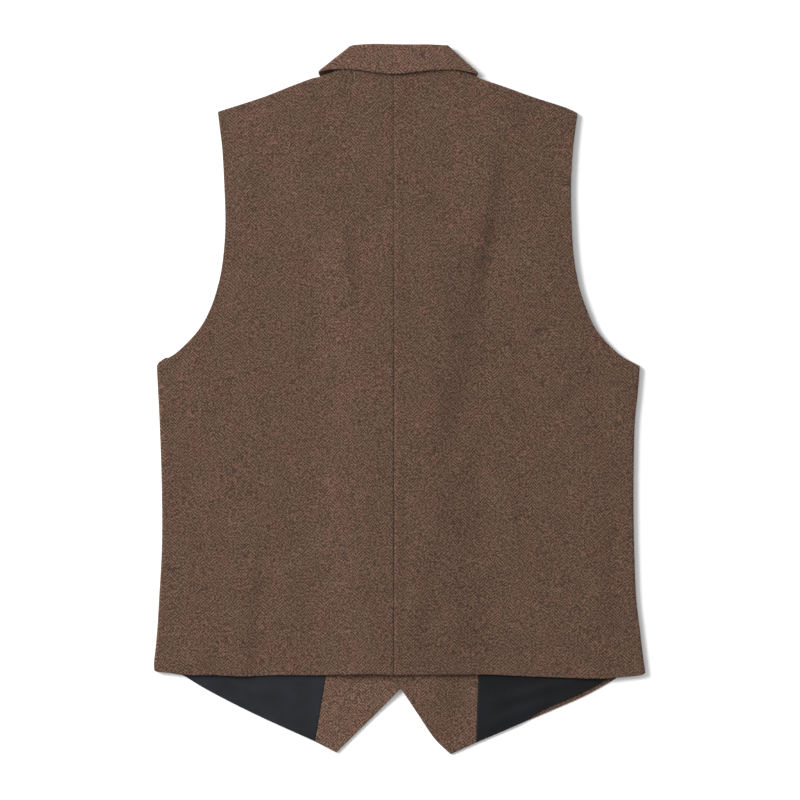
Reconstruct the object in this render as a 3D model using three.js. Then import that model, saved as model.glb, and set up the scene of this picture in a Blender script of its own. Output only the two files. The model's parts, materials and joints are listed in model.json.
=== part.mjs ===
import * as THREE from 'three';

const { lerp, smoothstep } = THREE.MathUtils;

// A tweed suit waistcoat laid flat and face down, its back uppermost. Millimetres, +Z up.
// The collar points along +Y and the wearer's left is at -X. The cloth lies on the plane z = 0.

// Walls of cloth and the gap at a seam
const SEAM = 0.3;
const SHELL = 1.4;
const FACING = 1.0;
const LINING = 1.0;
const LAPEL = 2.0;

// The sides are rolled over, so that the back and the fronts meet edge to edge halfway up. The gap there
// is a little wider, because the rolled rims slant.
const SIDE_HEIGHT = 6.0;
const SIDE_SEAM = 0.4;
const ROLL_RADIUS = (SIDE_HEIGHT - SIDE_SEAM) / 2;
const ROLL_STEPS = 3;
const UNDERARM_EASE = 0.75;

// Heights that the fronts and the back rise to over what lies under them
const LAPEL_LIFT = 2.5;
const BUTTON_LIFT = 2.9;
const OVERLAP_LIFT = BUTTON_LIFT + SHELL + FACING + 2 * SEAM;
const CROWN_LIFT = 6.0;
const PUFF = 1.2;

// The folded edge of the collar and lapels, and the height of the collar over the back
const FOLD_HEIGHT = 5.0;
const FOLD_RADIUS = FOLD_HEIGHT / 2;
const FOLD_STEPS = 4;
const COLLAR_TOP = SIDE_HEIGHT + LAPEL_LIFT + SEAM + LAPEL;
const CREASE_RADIUS = COLLAR_TOP / 2;
const CREASE_STEPS = 6;
const CREASE_FALL = 44;
const CREASE_STAND = 26;
const COLLAR_FLARE = 2.2;

// Buttons on the centre front line
const BUTTON = { count: 5, diameter: 15, thickness: 2.6, rim: 1.6, dish: 0.5, top: 24, spacing: 68 };
const OVERLAP = 20;
const LAST_BUTTON = BUTTON.top - (BUTTON.count - 1) * BUTTON.spacing;
const STRAIGHT_TOP = 60;

// Levels of the garment, measured up from its middle
const HEM = -281;
const NECK_SEAM = 341;
const UNDERARM = 34;
const V_POINT = { x: -1.7, y: 135 };
const CENTRE_BACK = -6;

// Grid of a panel. The seam top is the share of its height where the side seam ends and the armhole
// starts, and the V foot is so many rows above that.
const SEAM_TOP = 0.42;
const BACK_LENGTH = NECK_SEAM - HEM;
const FRONT_LENGTH = 640;
const PANEL_ROWS = { side: 8, armhole: 11 };
const V_FOOT_STEP = 3;
const BACK_COLUMNS = { neck: 3, shoulder: 7 };
const FRONT_COLUMNS = { facing: 5, lining: 6 };
const NECK_SHARE = 0.36;
const NECK_CENTRE_SHARE = 0.46;
const FACING_SHARE = 0.4;
const ARMHOLE_DEEPER = 6;

// Steps of the collar's and lapels' walls, along each leg of the fold and down the lapel
const COLLAR_LEG_STEPS = 5;
const STAND_STEPS = 2;
const LAPEL_ROWS = 9;

// Outline of each side, seen from behind, with the points of the front that show below the back hem
const OUTLINES = {
  left: {
    side: [[-250.7, -276.4], [-251.2, -270], [-249.5, -254], [-247.6, -233], [-245.9, -204.5], [-243, -150],
      [-243, -95], [-245, -30], [-248.2, UNDERARM]],
    armhole: [[-248.2, UNDERARM], [-246, 38], [-239.4, 41], [-228.6, 47.2], [-205.3, 70.9], [-193.8, 91.3],
      [-186.7, 111.7], [-182, 132.1], [-178.5, 165], [-178.1, 193], [-179, 216], [-181.1, 254.5],
      [-183.5, 274.9], [-185.7, 293.4]],
    shoulder: [[-70.4, 333.2], [-80.6, 329.2], [-89, 327.4], [-107.1, 321], [-137.7, 309], [-185.7, 293.4]],
    hem: [[CENTRE_BACK, -280.6], [-30, -279.6], [-62, -280.4], [-87, -281], [-128, -281], [-159, -282.2],
      [-188, -281], [-218, -280.6], [-239, -278.2], [-247.4, -277.6], [-250.7, -276.4]],
    point: [-64.8, -360],
    facingFoot: [-86.3, -348.8],
    frontBelow: [[-150, -319.8], [-198, -295.2]],
    apex: [[0.3, -294.4]],
    facingHem: [-75.7, -283],
    frontHem: [-221.3, -281],
    foldEnd: [-49.6, 359.4],
    creaseEnd: [-82.8, 332.7],
  },
  right: {
    side: [[250.2, -277.8], [249.4, -272.9], [246.9, -254.5], [244.7, -235], [241, -204.5], [238.5, -140],
      [238.2, -77], [239.6, -21], [242.7, 9.7], [244.6, UNDERARM]],
    armhole: [[244.6, UNDERARM], [237, 38], [225.9, 44.2], [218.3, 50.3], [200, 70.9], [190.4, 91.3],
      [183.5, 111.7], [179.1, 132.1], [176.4, 152.5], [174.5, 193], [174.2, 214], [174.9, 234],
      [176.3, 254.5], [178.7, 274.9], [181, 291.8]],
    shoulder: [[69, 332.9], [84.8, 326], [101, 320.7], [134.6, 308.7], [170.5, 297], [181, 291.8]],
    hem: [[CENTRE_BACK, -280.6], [82, -280.2], [139, -282.5], [207, -284.4], [222, -283.5], [241, -281.6],
      [248, -280.2], [250.2, -277.8]],
    point: [51.6, -361.6],
    facingFoot: [77.8, -349.8],
    frontBelow: [[148.9, -319.4], [189.7, -301.4]],
    apex: [[36.5, -347.2], [16.3, -317.4], [0.7, -294.6]],
    facingHem: [80, -283],
    frontHem: [221.3, -284],
    foldEnd: [48.1, 361],
    creaseEnd: [80.1, 330.4],
  },
};

// Half of the collar and lapel on the front, mirrored for the other side
const GORGE = { roll: [-36.1, 303], notch: [-73, 284], collarTip: [-90, 293], lapelTip: [-99, 269] };
const LAPEL_EDGE = [GORGE.lapelTip, [-91, 240], [-67, 195], [-34, 158], [-4.7, 138]];
const LAPEL_END = [-2.2, 137];
const MIRROR_AXIS = V_POINT.x;

// The collar across the back, from its left crease to its right one
const COLLAR_ROWS = [
  { at: 0.0, foldX: -47, foldY: 360.6, edgeX: -80.6, edgeY: 334.4, stand: CREASE_STAND },
  { at: 0.1, foldX: -41.5, foldY: 361.3, edgeX: -64, edgeY: 336.3, stand: 24 },
  { at: 0.22, foldX: -30, foldY: 362.2, edgeX: -45, edgeY: 335.6, stand: 22 },
  { at: 0.36, foldX: -17, foldY: 362.3, edgeX: -25.5, edgeY: 333, stand: 21 },
  { at: 0.5, foldX: -2, foldY: 361.9, edgeX: -4, edgeY: 331.5, stand: 21 },
  { at: 0.64, foldX: 13, foldY: 361.8, edgeX: 18, edgeY: 333.6, stand: 21 },
  { at: 0.78, foldX: 27, foldY: 361.8, edgeX: 38, edgeY: 335.4, stand: 22 },
  { at: 0.9, foldX: 39, foldY: 361.2, edgeX: 58, edgeY: 335.6, stand: 24 },
  { at: 1.0, foldX: 44, foldY: 360.6, edgeX: 77.2, edgeY: 332, stand: CREASE_STAND },
];

// Reach of the lapels and collar from the centre, up the garment, and the soft slope of the cloth beyond it
const SOFT_EDGE = 70;
const LAPEL_REACH = [
  { y: 120, reach: 10 },
  { y: 158, reach: 42 },
  { y: 195, reach: 74 },
  { y: 240, reach: 98 },
  { y: 270, reach: 104 },
  { y: 340, reach: 94 },
];

// Soft troughs in the back, each from one end to the other
const CREASES = [
  { fromX: 107, fromY: 232, toX: 92, toY: 112, width: 20, depth: 0.9 },
  { fromX: 95, fromY: 130, toX: 52, toY: -34, width: 24, depth: 0.8 },
  { fromX: -43, fromY: 160, toX: -40, toY: 52, width: 22, depth: 0.6 },
  { fromX: -137, fromY: -112, toX: -134, toY: -262, width: 22, depth: 0.7 },
  { fromX: 70, fromY: 305, toX: 118, toY: 236, width: 18, depth: 0.5 },
];

const at = (x, y, z = 0) => new THREE.Vector3(x, y, z);
const mirrored = ([x, y]) => [2 * MIRROR_AXIS - x, y];

// A smooth curve through points, read by its share of the length
function through(points) {
  if (points.length === 2) {
    const [from, to] = points.map(([x, y]) => at(x, y));
    return (share) => from.clone().lerp(to, share);
  }
  const curve = new THREE.CatmullRomCurve3(points.map(([x, y]) => at(x, y)), false, 'centripetal');
  return (share) => curve.getPointAt(Math.min(Math.max(share, 0), 1));
}

// Curves one after another, each up to its own share of the whole
function chain(pieces) {
  return (share) => {
    let from = 0;
    for (const piece of pieces) {
      if (share <= piece.upTo) return piece.curve((share - from) / (piece.upTo - from));
      from = piece.upTo;
    }
    return pieces.at(-1).curve(1);
  };
}

// A value from a table whose rows rise by one column, and straight between the rows
function tableValue(rows, key, column, value) {
  const next = rows.findIndex((row) => row[key] > value);
  if (next === 0) return rows[0][column];
  if (next < 0) return rows.at(-1)[column];
  const [low, high] = [rows[next - 1], rows[next]];
  return lerp(low[column], high[column], (value - low[key]) / (high[key] - low[key]));
}

// Two lifts at one place, which together come no higher than the top one
const stack = (one, other, top) => one + other - (one * other) / top;

function lapelLift(x, y) {
  const reach = tableValue(LAPEL_REACH, 'y', 'reach', y);
  const across = 1 - smoothstep(Math.abs(x), reach, reach + SOFT_EDGE);
  return LAPEL_LIFT * across * smoothstep(y, 95, V_POINT.y);
}

function buttonLift(x, y) {
  const across = 1 - smoothstep(Math.abs(x), 12, 50);
  return BUTTON_LIFT * across * (1 - smoothstep(y, 100, 140)) * smoothstep(y, -328, -276);
}

function overlapLift(x, y) {
  const across = 1 - smoothstep(x, OVERLAP + 8, OVERLAP + 50);
  return OVERLAP_LIFT * across * (1 - smoothstep(y, 128, 185)) * smoothstep(y, -352, -300);
}

function crownLift(x, y) {
  const across = 1 - smoothstep(Math.abs(x), 30, 92);
  return CROWN_LIFT * across * (1 - smoothstep(y, 130, 200));
}

function creaseDepth(x, y) {
  let depth = 0;
  for (const crease of CREASES) {
    const run = at(crease.toX - crease.fromX, crease.toY - crease.fromY);
    const offset = at(x - crease.fromX, y - crease.fromY);
    const along = offset.dot(run) / run.lengthSq();
    if (along <= 0 || along >= 1) continue;
    const away = offset.sub(run.multiplyScalar(along)).length();
    depth += crease.depth * (1 - smoothstep(away, 0, crease.width)) * 4 * along * (1 - along);
  }
  return depth;
}

// Heights of the outer faces: the fronts face down and the back faces up
const frontFace = {
  left: (x, y) => stack(lapelLift(x, y), buttonLift(x, y), BUTTON_LIFT),
  right: (x, y) => stack(lapelLift(x, y), overlapLift(x, y), OVERLAP_LIFT),
};

function backFace(x, y) {
  const inside = (1 - smoothstep(Math.abs(x), 140, 230)) * (1 - smoothstep(y, 230, 310));
  const puff = PUFF * inside * lerp(0.2, 1, smoothstep(y, HEM, HEM + 60));
  const lift = stack(lapelLift(x, y), crownLift(x, y), CROWN_LIFT);
  return SIDE_HEIGHT + lift + puff - creaseDepth(x, y) * inside;
}

// One closed wall, half of its thickness to each side of rows of middle points
function wall(rows, thickness) {
  const [rowCount, columnCount] = [rows.length, rows[0].length];
  const normals = rowNormals(rows);
  const positions = [];
  for (const side of [1, -1]) {
    rows.forEach((row, j) => row.forEach((point, i) => {
      positions.push(...point.clone().addScaledVector(normals[j][i], (side * thickness) / 2).toArray());
    }));
  }
  const index = [];
  const vertex = (i, j, layer) => layer * rowCount * columnCount + j * columnCount + i;
  const quad = (a, b, c, d) => index.push(a, b, c, a, c, d);
  // Both faces split a cell the same way, from its lower corner nearer to the centre, and so do lined layers
  for (let j = 0; j + 1 < rowCount; j += 1) {
    for (let i = 0; i + 1 < columnCount; i += 1) {
      const corners = [[i, j], [i + 1, j], [i + 1, j + 1], [i, j + 1]];
      if (Math.abs(rows[j][i + 1].x) < Math.abs(rows[j][i].x)) corners.push(corners.shift());
      const [a, b, c, d] = corners;
      quad(vertex(...a, 0), vertex(...b, 0), vertex(...c, 0), vertex(...d, 0));
      quad(vertex(...a, 1), vertex(...d, 1), vertex(...c, 1), vertex(...b, 1));
    }
  }
  const rim = (a, b) => quad(vertex(...a, 0), vertex(...a, 1), vertex(...b, 1), vertex(...b, 0));
  const [lastColumn, lastRow] = [columnCount - 1, rowCount - 1];
  for (let i = 0; i < lastColumn; i += 1) {
    rim([i, 0], [i + 1, 0]);
    rim([i + 1, lastRow], [i, lastRow]);
  }
  for (let j = 0; j < lastRow; j += 1) {
    rim([lastColumn, j], [lastColumn, j + 1]);
    rim([0, j + 1], [0, j]);
  }
  const geometry = new THREE.BufferGeometry();
  geometry.setAttribute('position', new THREE.Float32BufferAttribute(positions, 3));
  geometry.setIndex(index);
  geometry.computeVertexNormals();
  return geometry;
}

// The direction along a run of points at one of them, halfway between the steps before and after it
function runDirection(previous, point, next) {
  const direction = at(0, 0);
  if (previous) direction.add(point.clone().sub(previous).normalize());
  if (next) direction.add(next.clone().sub(point).normalize());
  return direction.normalize();
}

function rowNormals(rows) {
  return rows.map((row, j) => row.map((point, i) => {
    const across = runDirection(row[i - 1], point, row[i + 1]);
    const along = runDirection(rows[j - 1]?.[i], point, rows[j + 1]?.[i]);
    return across.cross(along).normalize();
  }));
}

// Where a panel's edge rolls over, each step moves the middle of the wall inwards and down
function rollStep(step) {
  const radius = ROLL_RADIUS - SHELL / 2;
  const angle = (step / ROLL_STEPS) * (Math.PI / 2);
  const flat = ROLL_RADIUS * (1 - step / ROLL_STEPS);
  return { inwards: ROLL_RADIUS - radius * Math.sin(angle) - flat, drop: radius * (1 - Math.cos(angle)) };
}

// Shares from 0 to 1 in equal steps, then the closer steps of a rolled edge
function rolledShares(steps, length) {
  const strip = ROLL_RADIUS / length;
  const shares = [];
  for (let step = 0; step <= steps; step += 1) shares.push((step / steps) * (1 - strip));
  for (let step = 1; step <= ROLL_STEPS; step += 1) shares.push(1 - strip * (1 - step / ROLL_STEPS));
  return shares;
}

// A point of the patch between four curves, bottom and top read by u, inner and outer read by v
function patchPoint(patch, u, v) {
  const { bottom, top, inner, outer } = patch;
  const point = bottom(u).multiplyScalar(1 - v).addScaledVector(top(u), v);
  point.addScaledVector(inner(v), 1 - u).addScaledVector(outer(v), u);
  point.addScaledVector(bottom(0), -(1 - u) * (1 - v)).addScaledVector(bottom(1), -u * (1 - v));
  return point.addScaledVector(top(0), -(1 - u) * v).addScaledVector(top(1), -u * v);
}

// The way in from a curve's edge, towards a point inside the panel
function wayIn(curve, share, inside) {
  const step = 0.01;
  const direction = curve(Math.min(share + step, 1)).sub(curve(Math.max(share - step, 0)));
  const way = at(-direction.y, direction.x).normalize();
  return way.dot(inside.clone().sub(curve(share))) < 0 ? way.negate() : way;
}

// Middle points of a panel's wall. Its last columns roll over at the side seam and its last rows
// at the shoulder, and each patch has its own columns.
function panelRows({ patches, face, outwards, side, shoulder, rowShares }) {
  const middle = at(side(0.5).x / 2, 0);
  const lastMain = { row: rowShares.length - 1 - ROLL_STEPS };
  const grid = rowShares.map((v, j) => {
    const row = [];
    patches.forEach((patch, number) => {
      const shares = number > 0 ? patch.shares.slice(1) : patch.shares;
      for (const u of shares) row.push({ flat: patchPoint(patch, u, v), u, patch });
    });
    lastMain.column = row.length - 1 - ROLL_STEPS;
    return row.map(({ flat, u, patch }, i) => {
      const point = at(flat.x, flat.y, face(flat.x, flat.y) - (outwards * SHELL) / 2);
      if (i > lastMain.column && v <= SEAM_TOP) {
        const roll = rollStep(i - lastMain.column);
        point.addScaledVector(wayIn(side, v / SEAM_TOP, middle), roll.inwards);
        point.z -= outwards * roll.drop * (v < SEAM_TOP ? 1 : UNDERARM_EASE);
      }
      const along = patch.shoulderShare(u);
      if (j > lastMain.row && along >= 0) {
        const roll = rollStep(j - lastMain.row);
        point.addScaledVector(wayIn(shoulder, along, middle), roll.inwards);
        point.z -= outwards * roll.drop;
      }
      return point;
    });
  });
  return { grid, lastMain, outwards, rowShares };
}

// Rows of a layer that lies inside a panel, made from the panel's points, between two of its columns.
// It stops short of a rolled edge and reaches an open one.
function layerRows(panel, depth, firstColumn, lastColumn, seams = {}) {
  const { grid, lastMain, outwards, rowShares } = panel;
  const normals = rowNormals(grid);
  const rows = [];
  for (let j = 0; j <= lastMain.row; j += 1) {
    const row = [];
    for (let i = firstColumn; i <= lastColumn; i += 1) {
      const flushColumn = i === lastMain.column && rowShares[j] > SEAM_TOP;
      const column = flushColumn ? grid[0].length - 1 : i;
      const normal = normals[j][column].clone();
      normal.multiplyScalar(Math.sign(normal.z) * -outwards);
      row.push(grid[j][column].clone().addScaledVector(normal, depth));
    }
    if (seams.first) row[0].add(row[1].clone().sub(row[0]).setLength(SEAM / 2));
    if (seams.last) row.at(-1).add(row.at(-2).clone().sub(row.at(-1)).setLength(SEAM / 2));
    rows.push(row);
  }
  return rows;
}

// Row shares, with one row at the underarm and the closer rows of the shoulder's roll
function rowShares(length) {
  const shares = [];
  for (let step = 0; step < PANEL_ROWS.side; step += 1) shares.push((SEAM_TOP * step) / PANEL_ROWS.side);
  const armhole = rolledShares(PANEL_ROWS.armhole, (1 - SEAM_TOP) * length);
  return shares.concat(armhole.map((share) => lerp(SEAM_TOP, 1, share)));
}

// The collar's rolled fold on each front, straight down to the V
function rollLine(side) {
  const frame = crease[side];
  const end = side === 'left' ? LAPEL_END : mirrored(LAPEL_END);
  return through([[frame.start.x, frame.start.y], end]);
}

// The side creases of the collar: its start at the fold, its direction outwards and the way out of the cloth
const crease = Object.fromEntries(Object.entries(OUTLINES).map(([side, outline]) => {
  const along = at(...outline.creaseEnd).sub(at(...outline.foldEnd)).normalize();
  const out = side === 'left' ? at(along.y, -along.x) : at(-along.y, along.x);
  const start = at(...outline.foldEnd).addScaledVector(out, -CREASE_RADIUS);
  return [side, { along, out, start }];
}));

// Stations of the collar on a front, from the crease down to the gorge
function frontStations(side) {
  const { start, along } = crease[side];
  const flip = side === 'left' ? (point) => point : mirrored;
  const [roll, tip] = [at(...flip(GORGE.roll)), at(...flip(GORGE.collarTip))];
  const edge = start.clone().addScaledVector(along, CREASE_FALL);
  const rows = [
    { share: 0, stand: CREASE_STAND },
    { share: 0.3, stand: 22 },
    { share: 0.65, stand: 12 },
    { share: 1, stand: FOLD_RADIUS + 0.2 },
  ];
  return rows.map(({ share, stand }) => ({
    fold: start.clone().lerp(roll, share),
    edge: edge.clone().lerp(tip, share),
    stand,
  }));
}

// The seam that the stand is sewn to, on the back or on a front, SEAM away from the stand's edge
const neckPoint = ({ fold, edge, stand }) => {
  const way = edge.clone().sub(fold).normalize();
  return fold.clone().addScaledVector(way, stand + SEAM);
};

function backStation(share) {
  const read = (column) => tableValue(COLLAR_ROWS, 'at', column, share);
  return {
    fold: at(read('foldX'), read('foldY')),
    edge: at(read('edgeX'), read('edgeY')),
    stand: read('stand'),
  };
}

function backPanel(side) {
  const outline = OUTLINES[side];
  const sign = side === 'left' ? -1 : 1;
  const centre = CENTRE_BACK + (sign * SEAM) / 2;
  const neckEnd = side === 'left' ? 0 : 1;
  const neck = (share) => neckPoint(backStation(lerp(NECK_CENTRE_SHARE, neckEnd, share)));
  const shoulder = through(outline.shoulder);
  const shift = shoulder(0).sub(neck(1));
  const neckSeam = (share) => {
    const point = neck(share).addScaledVector(shift, share ** 4);
    point.x = lerp(centre, point.x, Math.min(share * 6, 1));
    return point;
  };
  const top = chain([{ upTo: NECK_SHARE, curve: neckSeam }, { upTo: 1, curve: shoulder }]);
  const [sideSeam, armhole] = [through(outline.side), through(outline.armhole)];
  const outer = chain([{ upTo: SEAM_TOP, curve: sideSeam }, { upTo: 1, curve: armhole }]);
  const hemPoints = [[centre, outline.hem[0][1]], ...outline.hem.slice(1)];
  const width = Math.abs(sideSeam(0.5).x - centre);
  const neckStep = NECK_SHARE / BACK_COLUMNS.neck;
  const neckShares = Array.from({ length: BACK_COLUMNS.neck }, (_, i) => neckStep * i);
  const shoulderShares = rolledShares(BACK_COLUMNS.shoulder, width * (1 - NECK_SHARE));
  const patch = {
    bottom: through(hemPoints),
    top,
    inner: through([[centre, outline.hem[0][1]], [centre, neckSeam(0).y]]),
    outer,
    shares: neckShares.concat(shoulderShares.map((share) => lerp(NECK_SHARE, 1, share))),
    shoulderShare: (u) => (u - NECK_SHARE) / (1 - NECK_SHARE),
  };
  return panelRows({
    patches: [patch],
    face: backFace,
    outwards: 1,
    side: sideSeam,
    shoulder,
    rowShares: rowShares(BACK_LENGTH),
  });
}

function frontPanel(side) {
  const outline = OUTLINES[side];
  const sign = side === 'left' ? -1 : 1;
  const edgeX = -sign * OVERLAP;
  const roll = rollLine(side);
  const stations = frontStations(side);
  const shoulder = through(outline.shoulder);
  const gorge = stations.at(-1);
  const gorgeSeam = neckPoint(gorge);
  const between = stations.slice(1, -1).reverse().map((station) => neckPoint(station));
  const neckline = between.map(({ x, y }) => [x, y]);
  const vFoot = roll(1).add(at(sign * (FOLD_RADIUS + SEAM), -4));
  const sideSeam = through(outline.side);
  const armhole = through(outline.armhole);
  const deeper = (share) => {
    const point = armhole(share);
    const way = wayIn(armhole, share, at(0, 150));
    return point.addScaledVector(way, ARMHOLE_DEEPER * Math.sin(Math.PI * share));
  };
  const tail = through([outline.point, ...outline.apex, [edgeX * 0.8, -274], [edgeX, LAST_BUTTON]]);
  const straight = through([[edgeX, LAST_BUTTON], [edgeX, STRAIGHT_TOP]]);
  const turn = through([[edgeX, STRAIGHT_TOP], [edgeX * 0.93, 85], [edgeX * 0.55, 112], [vFoot.x, vFoot.y]]);
  const vEdge = through([[vFoot.x, vFoot.y], [gorgeSeam.x, gorgeSeam.y]]);
  const neckSeam = through([[gorgeSeam.x, gorgeSeam.y], ...neckline, [shoulder(0).x, shoulder(0).y]]);
  const vFootShare = rowShares(FRONT_LENGTH)[PANEL_ROWS.side + V_FOOT_STEP];
  const inner = chain([
    { upTo: 0.15, curve: tail }, { upTo: 0.46, curve: straight }, { upTo: vFootShare, curve: turn },
    { upTo: 0.88, curve: vEdge }, { upTo: 1, curve: neckSeam },
  ]);
  const facingTop = shoulder(FACING_SHARE);
  const facing = chain([
    { upTo: 0.08, curve: through([outline.facingFoot, outline.facingHem]) },
    { upTo: 0.46, curve: through([outline.facingHem, [sign * 70, 50]]) },
    { upTo: 1, curve: through([[sign * 70, 50], [sign * 84, 135], [facingTop.x, facingTop.y]]) },
  ]);
  const outer = chain([{ upTo: SEAM_TOP, curve: sideSeam }, { upTo: 1, curve: deeper }]);
  const sideCorner = sideSeam(0);
  const facingShares = Array.from({ length: FRONT_COLUMNS.facing + 1 }, (_, i) => i / FRONT_COLUMNS.facing);
  const patches = [
    {
      bottom: through([outline.point, outline.facingFoot]), top: (u) => shoulder(u * FACING_SHARE),
      inner, outer: facing, shares: facingShares, shoulderShare: (u) => u * FACING_SHARE,
    },
    {
      bottom: chain([
        { upTo: 0.8, curve: through([outline.facingFoot, ...outline.frontBelow, outline.frontHem]) },
        { upTo: 1, curve: through([outline.frontHem, [sideCorner.x, sideCorner.y]]) },
      ]),
      top: (u) => shoulder(lerp(FACING_SHARE, 1, u)), inner: facing, outer,
      shares: rolledShares(FRONT_COLUMNS.lining, Math.abs(sideSeam(0.5).x) - 75),
      shoulderShare: (u) => lerp(FACING_SHARE, 1, u),
    },
  ];
  return panelRows({
    patches,
    face: frontFace[side],
    outwards: -1,
    side: sideSeam,
    shoulder,
    rowShares: rowShares(FRONT_LENGTH),
  });
}

// Middle of a folded wall along its section: the outer leg, the fold and the inner leg, as the distance
// from the fold and the depth below the outer face
function foldSection(outerLeg, innerLeg, legSteps, innerSteps) {
  const section = [];
  for (let step = 0; step < legSteps; step += 1) {
    section.push({ along: lerp(outerLeg, FOLD_RADIUS, step / legSteps), depth: LAPEL / 2 });
  }
  const radius = FOLD_RADIUS - LAPEL / 2;
  for (let step = 0; step <= FOLD_STEPS; step += 1) {
    const angle = (Math.PI * step) / FOLD_STEPS;
    section.push({
      along: FOLD_RADIUS - radius * Math.sin(angle),
      depth: FOLD_RADIUS - radius * Math.cos(angle),
    });
  }
  for (let step = 1; step <= innerSteps; step += 1) {
    section.push({ along: lerp(FOLD_RADIUS, innerLeg, step / innerSteps), depth: FOLD_HEIGHT - LAPEL / 2 });
  }
  return section;
}

function collarSection(station) {
  const fall = station.edge.distanceTo(station.fold);
  return foldSection(fall, station.stand, COLLAR_LEG_STEPS, STAND_STEPS).map((point) => ({ ...point, fall }));
}

// The collar's end runs from the roll line to the notch, then out to its own tip
function bendToNotch(row, roll, notch, tip) {
  const toNotch = roll.distanceTo(notch);
  const length = toNotch + notch.distanceTo(tip);
  for (let step = 0; step < COLLAR_LEG_STEPS; step += 1) {
    const along = length * (1 - step / COLLAR_LEG_STEPS);
    const share = (along - toNotch) / (length - toNotch);
    const place = share > 0 ? notch.clone().lerp(tip, share) : roll.clone().lerp(notch, along / toNotch);
    row[step].x = place.x;
    row[step].y = place.y;
  }
}

function collarOnFront(side) {
  const flip = side === 'left' ? (point) => point : mirrored;
  const rows = frontStations(side).map((station) => {
    const way = station.edge.clone().sub(station.fold).normalize();
    return collarSection(station).map(({ along, depth }) => {
      const place = station.fold.clone().addScaledVector(way, along);
      return at(place.x, place.y, depth);
    });
  });
  bendToNotch(rows.at(-1), ...[GORGE.roll, GORGE.notch, GORGE.collarTip].map((point) => at(...flip(point))));
  return rows;
}

// Round the side crease, each row leans further towards the first row on the back
function collarAtCrease(side) {
  const { start, along: way, out } = crease[side];
  const back = backStation(side === 'left' ? 0 : 1);
  const backFall = back.edge.distanceTo(back.fold);
  const backWay = back.edge.clone().sub(back.fold).normalize();
  const rows = [];
  for (let step = 1; step < CREASE_STEPS; step += 1) {
    const turn = step / CREASE_STEPS;
    const angle = Math.PI * turn;
    const station = { fold: at(0, 0), edge: at(lerp(CREASE_FALL, backFall, turn), 0), stand: CREASE_STAND };
    rows.push(collarSection(station).map(({ along, depth }) => {
      const radius = CREASE_RADIUS - depth;
      const flat = start.clone().addScaledVector(way, along);
      const lean = back.fold.clone().addScaledVector(backWay, along).sub(flat);
      const place = flat.addScaledVector(out, radius * Math.sin(angle)).addScaledVector(lean, turn ** 2);
      return at(place.x, place.y, CREASE_RADIUS - radius * Math.cos(angle));
    }));
  }
  return rows;
}

function collarOnBack() {
  const steps = 2 * (COLLAR_ROWS.length - 1);
  const rows = [];
  for (let step = 0; step <= steps; step += 1) {
    const low = COLLAR_ROWS[Math.floor(step / 2)];
    const high = COLLAR_ROWS[Math.ceil(step / 2)];
    const share = (low.at + high.at) / 2;
    const station = backStation(share);
    const way = station.edge.clone().sub(station.fold).normalize();
    rows.push(collarSection(station).map(({ along, depth, fall }) => {
      const place = station.fold.clone().addScaledVector(way, along);
      const outer = depth < FOLD_RADIUS ? along / fall : 0;
      const flare = COLLAR_FLARE * Math.sin(Math.PI * share) ** 2 * outer ** 2;
      return at(place.x, place.y, COLLAR_TOP - depth + flare);
    }));
  }
  return rows;
}

function collarRows() {
  return [
    ...collarOnFront('left').reverse(), ...collarAtCrease('left'), ...collarOnBack(),
    ...collarAtCrease('right').reverse(), ...collarOnFront('right'),
  ];
}

function lapelRows(side) {
  const flip = side === 'left' ? (point) => point : mirrored;
  const [rollTop, rollFoot] = [at(...flip(GORGE.roll)), at(...flip(LAPEL_END))];
  const down = rollFoot.clone().sub(rollTop).normalize();
  const edge = through(LAPEL_EDGE.map(flip));
  const rows = [];
  for (let step = 0; step <= LAPEL_ROWS; step += 1) {
    const share = step / LAPEL_ROWS;
    const fold = rollTop.clone().addScaledVector(down, SEAM * 1.4).lerp(rollFoot, share);
    const way = edge(share).sub(fold);
    const leg = Math.max(way.length(), FOLD_RADIUS + 0.5);
    way.normalize();
    const row = foldSection(leg, FOLD_RADIUS, COLLAR_LEG_STEPS, 0).map(({ along, depth }) => {
      const place = fold.clone().addScaledVector(way, along);
      return at(place.x, place.y, frontFace[side](place.x, place.y) - LAPEL_LIFT + depth);
    });
    rows.push(row);
  }
  const notch = at(...flip(GORGE.notch)).addScaledVector(down, SEAM * 1.6);
  bendToNotch(rows[0], rollTop.clone().addScaledVector(down, SEAM * 1.4), notch, at(...flip(GORGE.lapelTip)));
  return rows;
}

// A turned button with a rim round a shallow dish, face down on the table
function buttonGeometry() {
  const radius = BUTTON.diameter / 2;
  const round = BUTTON.thickness * 0.3;
  const profile = [
    [0, BUTTON.dish], [radius - BUTTON.rim - 0.6, BUTTON.dish], [radius - BUTTON.rim, 0], [radius - round, 0],
    [radius, round], [radius, BUTTON.thickness - round], [radius - round, BUTTON.thickness],
    [0, BUTTON.thickness],
  ].map(([r, z]) => new THREE.Vector2(r, z));
  const geometry = new THREE.LatheGeometry(profile, 14);
  return geometry.rotateX(Math.PI / 2);
}

const cloth = (color) => new THREE.MeshStandardMaterial({ color, roughness: 0.92, metalness: 0 });
const TWEED = '#664f42';
const COLLAR_TWEED = '#6e584b';
const CHARCOAL = '#2b2b31';
const HORN = '#3a2a20';

const garment = new THREE.Group();

function add(name, geometry, color, roughness = 0.92) {
  const material = cloth(color);
  material.roughness = roughness;
  const mesh = new THREE.Mesh(geometry, material);
  mesh.name = name;
  garment.add(mesh);
  return mesh;
}

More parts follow.
